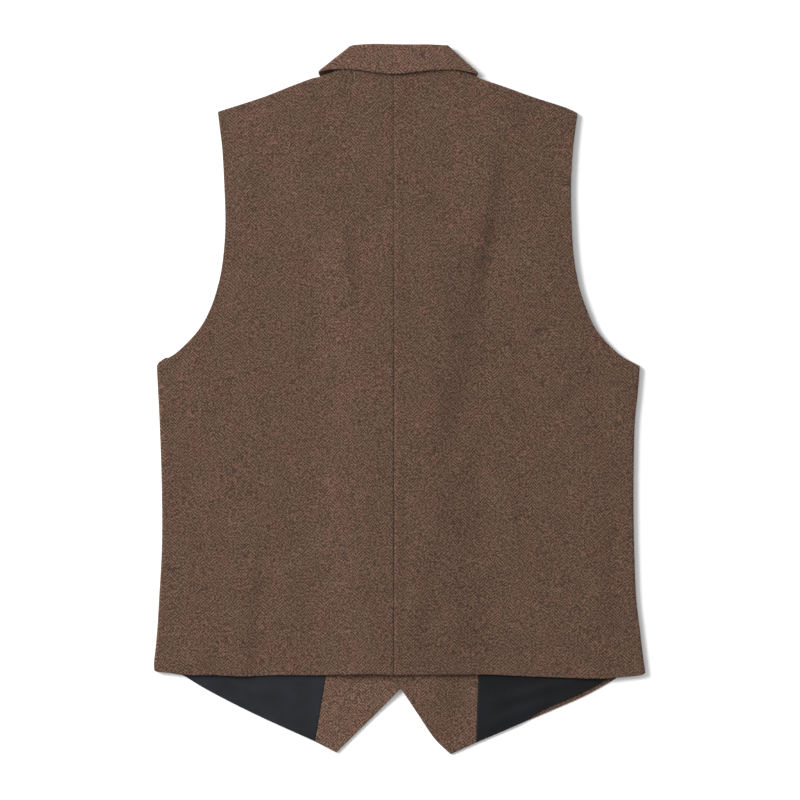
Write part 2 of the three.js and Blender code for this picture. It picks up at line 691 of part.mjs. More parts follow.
const insideShell = SHELL / 2 + SEAM;
const backLining = [];
for (const side of ['left', 'right']) {
  const back = backPanel(side);
  add(`back_${side}`, wall(back.grid, SHELL), TWEED);
  backLining.push(layerRows(back, insideShell + LINING / 2, 0, back.lastMain.column));

  const front = frontPanel(side);
  const facingColumn = FRONT_COLUMNS.facing;
  const facing = layerRows(front, insideShell + FACING / 2, 0, facingColumn, { last: true });
  const lastColumn = front.lastMain.column;
  const lining = layerRows(front, insideShell + LINING / 2, facingColumn, lastColumn, { first: true });
  add(`front_${side}`, wall(front.grid, SHELL), TWEED);
  add(`facing_${side}`, wall(facing, FACING), TWEED);
  add(`lining_${side}`, wall(lining, LINING), CHARCOAL);
  add(`lapel_${side}`, wall(lapelRows(side), LAPEL), TWEED);
}
const [leftLining, rightLining] = backLining;
const wholeLining = leftLining.map((row, j) => [...row.toReversed(), ...rightLining[j].slice(1)]);
add('back_lining', wall(wholeLining, LINING), CHARCOAL);
add('collar', wall(collarRows(), LAPEL), COLLAR_TWEED);

for (let number = 1; number <= BUTTON.count; number += 1) {
  const button = add(`button_${number}`, buttonGeometry(), HORN, 0.35);
  button.position.set(0, BUTTON.top - (number - 1) * BUTTON.spacing, 0);
}

// The origin is the middle of the base
const middle = new THREE.Box3().setFromObject(garment, true).getCenter(at(0, 0));
garment.position.set(-middle.x, -middle.y, 0);

export default garment;
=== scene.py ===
import json
import math

import bpy
import numpy as np
from bpy.props import FloatProperty, FloatVectorProperty, PointerProperty
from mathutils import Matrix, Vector

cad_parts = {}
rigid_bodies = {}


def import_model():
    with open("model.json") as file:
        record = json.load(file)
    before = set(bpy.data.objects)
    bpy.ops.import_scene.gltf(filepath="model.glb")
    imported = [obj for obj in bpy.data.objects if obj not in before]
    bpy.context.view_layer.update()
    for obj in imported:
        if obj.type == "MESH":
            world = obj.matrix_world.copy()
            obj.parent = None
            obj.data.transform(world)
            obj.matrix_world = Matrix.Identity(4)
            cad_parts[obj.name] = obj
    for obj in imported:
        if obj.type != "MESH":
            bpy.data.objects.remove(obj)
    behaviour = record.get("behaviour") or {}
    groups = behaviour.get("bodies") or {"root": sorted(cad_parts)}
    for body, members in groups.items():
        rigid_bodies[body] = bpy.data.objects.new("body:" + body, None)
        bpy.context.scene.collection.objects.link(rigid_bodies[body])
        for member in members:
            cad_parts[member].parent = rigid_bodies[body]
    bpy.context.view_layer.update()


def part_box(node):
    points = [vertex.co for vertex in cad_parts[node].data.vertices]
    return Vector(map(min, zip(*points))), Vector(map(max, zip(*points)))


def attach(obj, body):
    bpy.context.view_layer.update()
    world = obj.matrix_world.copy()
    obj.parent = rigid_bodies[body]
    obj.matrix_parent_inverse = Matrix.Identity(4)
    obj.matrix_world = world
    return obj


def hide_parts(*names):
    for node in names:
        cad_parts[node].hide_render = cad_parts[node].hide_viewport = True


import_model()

# A tweed suit waistcoat laid flat and face down, its back uppermost. The shapes are worked out in
# millimetres, with the collar along +Y and the wearer's left at -X, and put in the frame in metres.

bl_info = {
    "name": "Tweed Suit Waistcoat",
    "version": (1, 0, 0),
    "blender": (4, 5, 0),
    "location": "3D View > Sidebar > Waistcoat",
    "description": "Sews a herringbone tweed waistcoat, laid flat and face down, around its frame",
    "category": "Mesh",
}

MM = 0.001
BODY = "root"


def table(columns, rows):
    """Rows of values under one head of column names."""
    return [dict(zip(columns, row)) for row in rows]


# Walls of cloth and the gap at a seam
SEAM = 0.3
SHELL = 1.4
FACING = 1.0
LINING = 1.0
LAPEL = 2.0

# Share of the front's length that the lining stays back from the lower edge, where the tweed shows
LINING_SHY = 0.0055

# The back lining: its hem as a share of the panel, and how far it dips away from the centre seam
LINING_HEM = 0.002
LINING_DIP = 0.8
LINING_DIP_WIDTH = 7

# Mesh cells of the pieces that show less, against those of the back
LINING_CELLS = 1.4
FRONT_CELLS = 1.25

# The photo's light falls unevenly, so the colours of some pieces are made lighter or darker by these factors
FACING_LIGHTNESS = {"left": 1.33, "right": 1.12}
LINING_LIGHTNESS = {"left": 1.4, "right": 0.63}
COLLAR_LIGHTNESS = 1.2
LAPEL_LIGHTNESS = 1.05

# The centre-back seam and the ridge of its pressed allowance, which fades out at the hem
SEAM_WIDTH = 1.7
RIDGE_START = (0.6, 2.4)
RIDGE_SLOPE = 2.5
RIDGE_HEM = (1, 14)
RIDGE_SHARE = {"left": 0.4, "right": 1.0}

# The sides are rolled over, so that the back and the fronts meet edge to edge halfway up
SIDE_HEIGHT = 6.0
SIDE_SEAM = 0.4
ROLL_RADIUS = (SIDE_HEIGHT - SIDE_SEAM) / 2
UNDERARM_EASE = 0.75

# Heights that the fronts and the back rise to over what lies under them
LAPEL_LIFT = 2.5
BUTTON_LIFT = 2.9
OVERLAP_LIFT = BUTTON_LIFT + SHELL + FACING + 2 * SEAM
CROWN_LIFT = 6.0
PUFF = 1.2

# The folded edge of the collar and lapels, and the height of the collar over the back
FOLD_HEIGHT = 5.0
FOLD_RADIUS = FOLD_HEIGHT / 2
COLLAR_TOP = SIDE_HEIGHT + LAPEL_LIFT + SEAM + LAPEL
CREASE_RADIUS = COLLAR_TOP / 2
CREASE_FALL = 44
CREASE_STAND = 26
COLLAR_FLARE = 2.2

# Buttons on the centre front line
BUTTON = {"count": 5, "diameter": 15, "thickness": 2.6, "rim": 1.6, "dish": 0.5, "top": 24, "spacing": 68}
OVERLAP = 20
LAST_BUTTON = BUTTON["top"] - (BUTTON["count"] - 1) * BUTTON["spacing"]
STRAIGHT_TOP = 60

# Levels of the garment, measured up from its middle
HEM = -281
NECK_SEAM = 341
UNDERARM = 34
V_POINT = (-1.7, 135)
CENTRE_BACK = -6

# Shares of a panel's height and width where its edges change from one curve to the next
SEAM_TOP = 0.42
UNDERARM_BELOW = 0.3675
UNDERARM_ABOVE = 0.4727
V_FOOT = 0.5737
BACK_LENGTH = NECK_SEAM - HEM
FRONT_LENGTH = 640
NECK_SHARE = 0.36
NECK_CENTRE_SHARE = 0.46
FACING_SHARE = 0.4
ARMHOLE_DEEPER = 6

# Width of the facing's mesh, and where that of the front lining starts, measured from the centre
FACING_WIDTH = 90
FRONT_LINING_START = 75

# Lengths of the collar's end and the lapel along the roll line, and the mesh cells on them
COLLAR_END = 55
COLLAR_CELL = 2.0
LAPEL_LENGTH = 170
LAPEL_CELL = 2.5

# Share of the collar's end where its edge starts to bend to the notch
BEND_START = 0.65

# Where the back's puff and its loose troughs fade out, across and up the garment
PUFF_ACROSS = (140, 230)
PUFF_UP = (230, 310)
LOOSE_ACROSS = (205, 236)
LOOSE_UP = (285, 322)

# Outline of each side, seen from behind, with the points of the front that show below the back hem
OUTLINES = {
    "left": {
        "side": [(-250.7, -276.4), (-251.2, -270), (-249.5, -254), (-247.6, -233), (-245.9, -204.5),
                 (-243, -150), (-243, -95), (-245, -30), (-248.2, UNDERARM)],
        "armhole": [(-248.2, UNDERARM), (-246, 38), (-239.4, 41), (-228.6, 47.2), (-205.3, 70.9),
                    (-193.8, 91.3), (-186.7, 111.7), (-182, 132.1), (-178.5, 165), (-178.1, 193), (-179, 216),
                    (-181.1, 254.5), (-183.5, 274.9), (-185.7, 293.4)],
        "shoulder": [(-70.4, 333.2), (-80.6, 329.2), (-89, 327.4), (-107.1, 321), (-137.7, 309),
                     (-185.7, 293.4)],
        "hem": [(CENTRE_BACK, -280.6), (-30, -279.6), (-62, -280.4), (-87, -281), (-128, -281),
                (-159, -282.2), (-188, -281), (-218, -280.6), (-239, -278.2), (-247.4, -277.6),
                (-250.7, -276.4)],
        "point": (-64.8, -360),
        "facing_foot": (-86.3, -348.8),
        "front_below": [(-150, -319.8), (-198, -295.2)],
        "apex": [(0.3, -294.4)],
        "facing_hem": (-75.7, -283),
        "front_hem": (-221.3, -281),
        "fold_end": (-49.6, 359.4),
        "crease_end": (-82.8, 332.7),
    },
    "right": {
        "side": [(250.2, -277.8), (249.4, -272.9), (246.9, -254.5), (244.7, -235), (241, -204.5),
                 (238.5, -140), (238.2, -77), (239.6, -21), (242.7, 9.7), (244.6, UNDERARM)],
        "armhole": [(244.6, UNDERARM), (237, 38), (225.9, 44.2), (218.3, 50.3), (200, 70.9), (190.4, 91.3),
                    (183.5, 111.7), (179.1, 132.1), (176.4, 152.5), (174.5, 193), (174.2, 214), (174.9, 234),
                    (176.3, 254.5), (178.7, 274.9), (181, 291.8)],
        "shoulder": [(69, 332.9), (84.8, 326), (101, 320.7), (134.6, 308.7), (170.5, 297), (181, 291.8)],
        "hem": [(CENTRE_BACK, -280.6), (82, -280.2), (139, -282.5), (207, -284.4), (222, -283.5),
                (241, -281.6), (248, -280.2), (250.2, -277.8)],
        "point": (51.6, -361.6),
        "facing_foot": (77.8, -349.8),
        "front_below": [(148.9, -319.4), (189.7, -301.4)],
        "apex": [(36.5, -347.2), (16.3, -317.4), (0.7, -294.6)],
        "facing_hem": (80, -283),
        "front_hem": (221.3, -284),
        "fold_end": (48.1, 361),
        "crease_end": (80.1, 330.4),
    },
}
SIDES = {"left": -1, "right": 1}

# Half of the collar and lapel on the front, mirrored for the other side
GORGE = {"roll": (-36.1, 303), "notch": (-73, 284), "collar_tip": (-90, 293), "lapel_tip": (-99, 269)}
LAPEL_EDGE = [GORGE["lapel_tip"], (-91, 240), (-67, 195), (-34, 158), (-4.7, 138)]
LAPEL_END = (-2.2, 137)
MIRROR_AXIS = V_POINT[0]

# The collar across the back, from its left crease to its right one
COLLAR_ROWS = table(("at", "fold_x", "fold_y", "edge_x", "edge_y", "stand"), [
    (0.0, -47, 360.6, -80.6, 334.4, CREASE_STAND),
    (0.1, -41.5, 361.3, -64, 336.3, 24),
    (0.22, -30, 362.2, -45, 335.6, 22),
    (0.36, -17, 362.3, -25.5, 333, 21),
    (0.5, -2, 361.9, -4, 331.5, 21),
    (0.64, 13, 361.8, 18, 333.6, 21),
    (0.78, 27, 361.8, 38, 335.4, 22),
    (0.9, 39, 361.2, 58, 335.6, 24),
    (1.0, 44, 360.6, 77.2, 332, CREASE_STAND),
])

# Reach of the lapels and collar from the centre, up the garment, and the soft slope of the cloth beyond it
SOFT_EDGE = 70
LAPEL_REACH = {120: 10, 158: 42, 195: 74, 240: 98, 270: 104, 340: 94}

# Soft troughs in the back, drawn downwards: the width of the wall on the viewer's left and on the right.
# A depth under zero makes a ridge.
CREASES = table(("start", "end", "left", "right", "depth"), [
    ((113, 275), (98, 150), 14, 34, 1.5),
    ((94, 275), (80, 150), 42, 15, -1.4),
    ((102, 200), (84, 78), 14, 32, 1.5),
    ((84, 200), (64, 78), 38, 15, -1.4),
    ((86, 96), (38, -84), 30, 44, 1.0),
    ((60, 90), (10, -84), 50, 30, -0.8),
    ((-48, 190), (-36, 62), 14, 26, 1.5),
    ((-64, 184), (-52, 68), 34, 15, -1.3),
    ((-138, -118), (-148, -345), 12, 28, 1.0),
    ((-154, -130), (-166, -360), 32, 15, -0.9),
    ((41, -118), (28, -300), 16, 30, 0.9),
    ((20, -118), (8, -300), 12, 16, -0.8),
    ((196, -40), (204, -310), 40, 30, -1.6),
    ((112, -78), (120, -200), 24, 14, -0.9),
    ((84, 301), (58, 297), 4, 7, 1.0),
    ((-60, 330), (-88, 268), 16, 22, 1.0),
    ((-150, 296), (-166, 180), 26, 26, -1.0),
    ((-204, 20), (-150, -46), 14, 20, 1.0),
    ((206, 22), (150, -24), 20, 14, 1.0),
])
# The same in the front linings, where they show below the back hem
LINING_CREASES = table(("start", "end", "left", "right", "depth"), [
    ((-206, -278), (-84, -312), 9, 6, -1.5),
    ((-164, -290), (-80, -340), 5, 8, -1.3),
    ((-128, -282), (-88, -296), 5, 6, 0.8),
    ((80, -312), (192, -282), 10, 6, -1.6),
    ((78, -338), (160, -304), 6, 7, -1.2),
    ((92, -284), (146, -294), 5, 6, 0.9),
])
# The same in the hidden face of the fronts
FRONT_CREASES = table(("start", "end", "left", "right", "depth"), [
    ((78, 96), (34, -40), 18, 26, -0.8),
    ((-84, 70), (-44, -96), 26, 16, -0.7),
    ((-92, -120), (-60, -250), 20, 22, -0.6),
    ((88, -130), (64, -262), 22, 18, -0.6),
    ((60, -180), (108, -230), 12, 18, -0.5),
])

# Broad unevenness of cloth that was worn and pressed: wavelength across, wavelength along, height, phase
UNEVENNESS = table(("across", "along", "height", "phase"), [
    (210, 330, 0.45, 0.4),
    (95, 260, 0.28, 2.1),
    (61, -140, 0.12, 4.0),
    (-47, 83, 0.06, 1.3),
])


def linear(code):
    """An sRGB hex colour as the linear colour that a shader takes."""
    parts = [int(code[i:i + 2], 16) / 255 for i in (1, 3, 5)]
    return [p / 12.92 if p <= 0.04045 else ((p + 0.055) / 1.055) ** 2.4 for p in parts] + [1.0]


class WaistcoatCloth(bpy.types.PropertyGroup):
    """Sizes of the cloth's finish."""
    cell: FloatProperty(
        name="Cell", description="Width of the cloth's mesh cells", default=0.003, min=0.0015, unit="LENGTH")
    seam_depth: FloatProperty(
        name="Seam depth", description="How deep the centre-back seam is sunk", default=0.0004, unit="LENGTH")
    allowance: FloatProperty(
        name="Seam allowance", description="Width of the pressed allowance that shows as a ridge",
        default=0.009, unit="LENGTH")
    allowance_height: FloatProperty(
        name="Allowance height", description="Height of the ridge over the allowance",
        default=0.0005, unit="LENGTH")
    stripe: FloatProperty(
        name="Herringbone stripe", description="Width of one stripe of the herringbone",
        default=0.0058, unit="LENGTH")
    twill: FloatProperty(
        name="Twill spacing", description="Distance between twill lines, measured along the warp",
        default=0.0033, unit="LENGTH")


class WaistcoatColours(bpy.types.PropertyGroup):
    """Colours of the yarns, the lining and the buttons."""
    tweed_red: FloatVectorProperty(
        name="Russet yarn", description="Reddish brown of the tweed", size=4, subtype="COLOR",
        default=linear("#6c4b3e"))
    tweed_olive: FloatVectorProperty(
        name="Moss yarn", description="Olive brown of the tweed", size=4, subtype="COLOR",
        default=linear("#624e3e"))
    lining: FloatVectorProperty(
        name="Lining", description="Charcoal of the lining", size=4, subtype="COLOR",
        default=linear("#17181c"))
    horn: FloatVectorProperty(
        name="Horn", description="Dark brown of the buttons", size=4, subtype="COLOR",
        default=linear("#33231a"))


class WaistcoatStage(bpy.types.PropertyGroup):
    """The floor, the lights and the camera."""
    view_width: FloatProperty(
        name="View width", description="Width of floor that the camera sees", default=0.816, unit="LENGTH")
    camera_height: FloatProperty(
        name="Camera height", description="Height of the camera over the floor", default=6.0, unit="LENGTH")
    key_power: FloatProperty(
        name="Key light", description="Power of the large soft light at the upper left",
        default=400.0, unit="POWER")
    sky_strength: FloatProperty(
        name="Room light", description="Strength of the even light from all round", default=0.65)


def smoothstep(value, low, high):
    share = np.clip((np.asarray(value, float) - low) / (high - low), 0, 1)
    return share * share * (3 - 2 * share)


def mix(low, high, share):
    return low + (high - low) * share


def mirrored(point):
    return (2 * MIRROR_AXIS - point[0], point[1])


def unit(vectors):
    return vectors / np.maximum(np.linalg.norm(vectors, axis=-1, keepdims=True), 1e-9)


def through(points):
    """A smooth curve through points, read by its share of the length."""
    points = np.array(points, float)
    if len(points) == 2:
        return lambda share: points[0] + np.asarray(share, float)[..., None] * (points[1] - points[0])
    ends = np.vstack([2 * points[0] - points[1], points, 2 * points[-1] - points[-2]])
    t = np.linspace(0, 1, 40, endpoint=False)[:, None]
    dense = []
    for p0, p1, p2, p3 in zip(ends, ends[1:], ends[2:], ends[3:]):
        d0, d1, d2 = (np.linalg.norm(b - a) ** 0.5 for a, b in ((p0, p1), (p1, p2), (p2, p3)))
        start = ((p1 - p0) / d0 - (p2 - p0) / (d0 + d1) + (p2 - p1) / d1) * d1
        end = ((p2 - p1) / d1 - (p3 - p1) / (d1 + d2) + (p3 - p2) / d2) * d1
        dense.append(p1 + start * t + (3 * (p2 - p1) - 2 * start - end) * t**2
                     + (2 * (p1 - p2) + start + end) * t**3)
    dense = np.vstack([*dense, points[-1:]])
    run = np.concatenate([[0], np.cumsum(np.linalg.norm(np.diff(dense, axis=0), axis=1))])
    run /= run[-1]

    def read(share):
        share = np.clip(share, 0, 1)
        return np.stack([np.interp(share, run, dense[:, 0]), np.interp(share, run, dense[:, 1])], axis=-1)
    return read


def chain(*parts):
    """Curves one after another, each up to its own share of the whole."""
    def read(share):
        share = np.asarray(share, float)
        place = None
        start = 0.0
        for up_to, curve in parts:
            here = curve(np.clip((share - start) / (up_to - start), 0, 1))
            place = here if place is None else np.where((share > start)[..., None], here, place)
            start = up_to
        return place
    return read


def table_curve(rows, column):
    """A smooth value from a table whose rows rise by their first column."""
    keys = np.array([row["at"] for row in rows], float)
    values = np.array([row[column] for row in rows], float)
    slopes = np.gradient(values, keys)

    def read(share):
        i = int(np.clip(np.searchsorted(keys, share, side="right") - 1, 0, len(keys) - 2))
        step = keys[i + 1] - keys[i]
        t = (share - keys[i]) / step
        rise, fall = 2 * t**3 - 3 * t**2, t**3 - t**2
        return ((rise + 1) * values[i] - rise * values[i + 1]
                + (t**3 - 2 * t**2 + t) * step * slopes[i] + fall * step * slopes[i + 1])
    return read


def stack(one, other, top):
    """Two lifts at one place, which together come no higher than the top one."""
    return one + other - one * other / top


def lapel_lift(x, y):
    reach = np.interp(y, list(LAPEL_REACH), list(LAPEL_REACH.values()))
    across = 1 - smoothstep((np.abs(x) - reach) / SOFT_EDGE, 0, 1)
    return LAPEL_LIFT * across * smoothstep(y, 95, V_POINT[1])


def button_lift(x, y):
    across = 1 - smoothstep(np.abs(x), 12, 50)
    return BUTTON_LIFT * across * (1 - smoothstep(y, 100, 140)) * smoothstep(y, -328, -276)


def overlap_lift(x, y):
    across = 1 - smoothstep(x, OVERLAP + 8, OVERLAP + 50)
    return OVERLAP_LIFT * across * (1 - smoothstep(y, 128, 185)) * smoothstep(y, -352, -300)


def crown_lift(x, y):
    return CROWN_LIFT * (1 - smoothstep(np.abs(x), 30, 92)) * (1 - smoothstep(y, 130, 200))


def crease_depth(x, y, creases):
    """Depth of soft troughs, deepest in the middle and fading to the ends. A depth under 0 is a ridge."""
    depth = 0
    for crease in creases:
        start, end = np.array(crease["start"]), np.array(crease["end"])
        run = end - start
        along = ((x - start[0]) * run[0] + (y - start[1]) * run[1]) / run.dot(run)
        away = np.hypot(x - start[0] - along * run[0], y - start[1] - along * run[1])
        on_left = run[0] * (y - start[1]) < run[1] * (x - start[0])
        width = np.where(on_left, crease["left"], crease["right"])
        bow = np.clip(4 * along * (1 - along), 0, 1)
        depth = depth + crease["depth"] * (1 - smoothstep(away / width, 0, 1)) * bow
    return depth


def unevenness(x, y):
    height = 0
    for wave in UNEVENNESS:
        angle = 2 * math.pi * (x / wave["across"] + y / wave["along"]) + wave["phase"]
        height = height + wave["height"] * np.sin(angle)
    return height


def left_front_face(x, y):
    return stack(lapel_lift(x, y), button_lift(x, y), BUTTON_LIFT) - crease_depth(x, y, FRONT_CREASES)


def right_front_face(x, y):
    return stack(lapel_lift(x, y), overlap_lift(x, y), OVERLAP_LIFT) - crease_depth(x, y, FRONT_CREASES)


FRONT_FACES = {"left": left_front_face, "right": right_front_face}


def back_face(x, y):
    """Height of the back's outer face, with its troughs."""
    inside = (1 - smoothstep(np.abs(x), *PUFF_ACROSS)) * (1 - smoothstep(y, *PUFF_UP))
    loose = (1 - smoothstep(np.abs(x), *LOOSE_ACROSS)) * (1 - smoothstep(y, *LOOSE_UP))
    puff = PUFF * inside * mix(0.2, 1, smoothstep(y, HEM, HEM + 60))
    lift = stack(lapel_lift(x, y), crown_lift(x, y), CROWN_LIFT)
    return SIDE_HEIGHT + lift + puff + (unevenness(x, y) - crease_depth(x, y, CREASES)) * loose


# Steps in from an edge, where the cloth turns over and its mesh is finer
EDGE_STEPS = np.array([0.0, 0.2, 0.5, 0.9, 1.4, 2.1, 2.85])


def shares(length, cell, fine_start=True, fine_end=True):
    """Shares from 0 to 1 of a length, a cell apart, closer at the edges."""
    low = EDGE_STEPS if fine_start else np.zeros(1)
    high = length - EDGE_STEPS[::-1] if fine_end else np.full(1, float(length))
    count = max(2, round((high[0] - low[-1]) / cell))
    middle = np.linspace(low[-1], high[0], count + 1)[1:-1]
    return np.concatenate([low, middle, high]) / length


def patch_points(patch, u, v):
    """Points of the patch between four curves, bottom and top read by u, inner and outer read by v."""
    bottom, top, inner, outer = (patch[name] for name in ("bottom", "top", "inner", "outer"))
    a, b = u[..., None], v[..., None]
    ends = np.array([0.0, 1.0])
    (foot_in, foot_out), (head_in, head_out) = bottom(ends), top(ends)
    return ((1 - b) * bottom(u) + b * top(u) + (1 - a) * inner(v) + a * outer(v)
            - (1 - a) * (1 - b) * foot_in - a * (1 - b) * foot_out - (1 - a) * b * head_in - a * b * head_out)


def way_in(curve, share, inside):
    """The way in from a curve's edge, towards a point inside the panel."""
    step = 0.01
    run = curve(np.minimum(share + step, 1)) - curve(np.maximum(share - step, 0))
    way = unit(np.stack([-run[..., 1], run[..., 0]], axis=-1))
    towards = np.asarray(inside) - curve(share)
    return way * np.where((way * towards).sum(axis=-1) < 0, -1, 1)[..., None]


def rolled(step):
    """How far a rolled edge moves the middle of the wall inwards and down."""
    step = np.clip(step, 0, 1)
    radius = ROLL_RADIUS - SHELL / 2
    inwards = ROLL_RADIUS * step - radius * np.sin(step * math.pi / 2)
    return inwards, radius * (1 - np.cos(step * math.pi / 2))


def panel_middle(panel, patch, u, v):
    """Middle points of a panel's wall, rolled over at the side seam and the shoulder."""
    flat = patch_points(patch, u, v)
    height = panel["face"](flat[..., 0], flat[..., 1]) - panel["outwards"] * SHELL / 2
    points = np.concatenate([flat, height[..., None]], axis=-1)
    middle = (panel["side"](np.array(0.5))[0] / 2, 0)
    if patch["outermost"]:
        strip = ROLL_RADIUS / patch["width"]
        inwards, drop = rolled((u - 1 + strip) / strip)
        way = way_in(panel["side"], np.clip(v / SEAM_TOP, 0, 1), middle)
        ease = np.interp(v, [UNDERARM_BELOW, SEAM_TOP, UNDERARM_ABOVE], [1, UNDERARM_EASE, 0])
        points[..., :2] += way * (inwards * np.interp(v, [SEAM_TOP, UNDERARM_ABOVE], [1, 0]))[..., None]
        points[..., 2] -= panel["outwards"] * drop * ease
    strip = ROLL_RADIUS / panel["length"]
    inwards, drop = rolled((v - 1 + strip) / strip)
    along = patch["shoulder_share"](u)
    fade = smoothstep(along, -0.12, 0)
    way = way_in(panel["shoulder"], np.clip(along, 0, 1), middle)
    points[..., :2] += way * (inwards * fade)[..., None]
    points[..., 2] -= panel["outwards"] * drop * fade
    return points


def grid_normals(points):
    across = np.gradient(points, axis=1)
    along = np.gradient(points, axis=0)
    return unit(np.cross(unit(across), unit(along)))


def layer(points, outwards, depth):
    """A wall's points moved in, towards the inside of the garment."""
    normals = grid_normals(points)
    return points + normals * (np.sign(normals[..., 2:]) * -outwards * depth)


def crease_frame(side):
    """The collar's side crease: its start at the fold, its direction and the way out of the cloth."""
    outline = OUTLINES[side]
    end = np.array(outline["fold_end"], float)
    along = unit(np.array(outline["crease_end"]) - end)
    out = np.array([along[1], -along[0]]) * (1 if side == "left" else -1)
    return {"along": along, "out": out, "start": end - out * CREASE_RADIUS}


def roll_line(side):
    end = LAPEL_END if side == "left" else mirrored(LAPEL_END)
    return through([crease_frame(side)["start"], end])


def front_station(side, share):
    """A station of the collar on a front, from the crease down to the gorge."""
    crease = crease_frame(side)
    roll, tip = GORGE["roll"], GORGE["collar_tip"]
    if side == "right":
        roll, tip = mirrored(roll), mirrored(tip)
    stand = np.interp(share, [0, 0.3, 0.65, 1], [CREASE_STAND, 22, 12, FOLD_RADIUS + 0.2])
    edge = crease["start"] + crease["along"] * CREASE_FALL
    return {"fold": mix(crease["start"], np.array(roll), share), "edge": mix(edge, np.array(tip), share),
            "stand": float(stand)}


COLLAR_CURVES = {name: table_curve(COLLAR_ROWS, name) for name in COLLAR_ROWS[0] if name != "at"}


def back_station(share):
    read = {name: float(curve(share)) for name, curve in COLLAR_CURVES.items()}
    return {"fold": np.array([read["fold_x"], read["fold_y"]]),
            "edge": np.array([read["edge_x"], read["edge_y"]]),
            "stand": read["stand"]}


def neck_point(station):
    """The seam that the stand is sewn to, SEAM away from the stand's edge."""
    way = unit(station["edge"] - station["fold"])
    return station["fold"] + way * (station["stand"] + SEAM)


def back_panel(side):
    outline = OUTLINES[side]
    centre = CENTRE_BACK + SIDES[side] * SEAM / 2
    neck_end = 0 if side == "left" else 1
    shoulder = through(outline["shoulder"])
    neck_line = through([neck_point(back_station(mix(NECK_CENTRE_SHARE, neck_end, share)))
                         for share in np.linspace(0, 1, 13)])
    shift = shoulder(np.array(0.0)) - neck_line(1.0)

    def neck_seam(share):
        point = neck_line(share) + np.asarray(share)[..., None] ** 4 * shift
        straight = np.minimum(np.asarray(share) * 6, 1)
        point[..., 0] = mix(centre, point[..., 0], straight)
        return point

    side_seam = through(outline["side"])
    hem_points = [(centre, outline["hem"][0][1]), *outline["hem"][1:]]
    patch = {
        "bottom": through(hem_points),
        "top": chain((NECK_SHARE, neck_seam), (1, shoulder)),
        "inner": through([(centre, outline["hem"][0][1]), (centre, neck_seam(np.array(0.0))[1])]),
        "outer": chain((SEAM_TOP, side_seam), (1, through(outline["armhole"]))),
        "width": abs(side_seam(np.array(0.5))[0] - centre),
        "outermost": True,
        "shoulder_share": lambda u: (u - NECK_SHARE) / (1 - NECK_SHARE),
    }
    return {"patches": [patch], "face": back_face, "outwards": 1, "side": side_seam, "shoulder": shoulder,
            "length": BACK_LENGTH}


def front_panel(side):
    outline = OUTLINES[side]
    sign = SIDES[side]
    edge_x = -sign * OVERLAP
    shoulder = through(outline["shoulder"])
    gorge_seam = neck_point(front_station(side, 1))
    neckline = [neck_point(front_station(side, share)) for share in (0.65, 0.3)]
    v_foot = roll_line(side)(np.array(1.0)) + np.array([sign * (FOLD_RADIUS + SEAM), -4])
    side_seam = through(outline["side"])
    armhole = through(outline["armhole"])

    def deeper(share):
        way = way_in(armhole, share, (0, 150))
        return armhole(share) + way * (ARMHOLE_DEEPER * np.sin(math.pi * share))[..., None]

    tail = through([outline["point"], *outline["apex"], (edge_x * 0.8, -274), (edge_x, LAST_BUTTON)])
    straight = through([(edge_x, LAST_BUTTON), (edge_x, STRAIGHT_TOP)])
    turn = through([(edge_x, STRAIGHT_TOP), (edge_x * 0.93, 85), (edge_x * 0.55, 112), v_foot])
    neck_seam = through([gorge_seam, *neckline, shoulder(np.array(0.0))])
    inner = chain((0.15, tail), (0.46, straight), (V_FOOT, turn), (0.88, through([v_foot, gorge_seam])),
                  (1, neck_seam))
    facing_top = shoulder(np.array(FACING_SHARE))
    facing = chain((0.08, through([outline["facing_foot"], outline["facing_hem"]])),
                   (0.46, through([outline["facing_hem"], (sign * 70, 50)])),
                   (1, through([(sign * 70, 50), (sign * 84, 135), facing_top])))
    outer = chain((SEAM_TOP, side_seam), (1, deeper))
    below = through([outline["facing_foot"], *outline["front_below"], outline["front_hem"]])
    patches = [
        {
            "bottom": through([outline["point"], outline["facing_foot"]]),
            "top": lambda u: shoulder(u * FACING_SHARE),
            "inner": inner,
            "outer": facing,
            "width": FACING_WIDTH,
            "outermost": False,
            "shoulder_share": lambda u: u * FACING_SHARE,
        },
        {
            "bottom": chain((0.8, below), (1, through([outline["front_hem"], side_seam(np.array(0.0))]))),
            "top": lambda u: shoulder(mix(FACING_SHARE, 1, u)),
            "inner": facing,
            "outer": outer,
            "width": abs(side_seam(np.array(0.5))[0]) - FRONT_LINING_START,
            "outermost": True,
            "shoulder_share": lambda u: mix(FACING_SHARE, 1, u),
        },
    ]
    return {"patches": patches, "face": FRONT_FACES[side], "outwards": -1, "side": side_seam,
            "shoulder": shoulder, "length": FRONT_LENGTH}


def fold_section(outer_leg, inner_leg, leg_shares, fold_steps, inner_steps):
    """Middle of a folded wall along its section: the distance from the fold and the depth below its face."""
    radius = FOLD_RADIUS - LAPEL / 2
    angle = np.linspace(0, math.pi, fold_steps + 1)
    inner = np.linspace(FOLD_RADIUS, inner_leg, inner_steps + 1)[1:]
    leg = mix(outer_leg, FOLD_RADIUS, leg_shares)[:-1]
    along = np.concatenate([leg, FOLD_RADIUS - radius * np.sin(angle), inner])
    depth = np.concatenate([np.full(len(leg), LAPEL / 2), FOLD_RADIUS - radius * np.cos(angle),
                            np.full(len(inner), FOLD_HEIGHT - LAPEL / 2)])
    return along, depth


LEG_SHARES = shares(CREASE_FALL, COLLAR_CELL, fine_end=False)
FOLD_STEPS = 10
STAND_STEPS = 10


def collar_section(station):
    fall = np.linalg.norm(station["edge"] - station["fold"])
    along, depth = fold_section(fall, station["stand"], LEG_SHARES, FOLD_STEPS, STAND_STEPS)
    return along, depth, fall


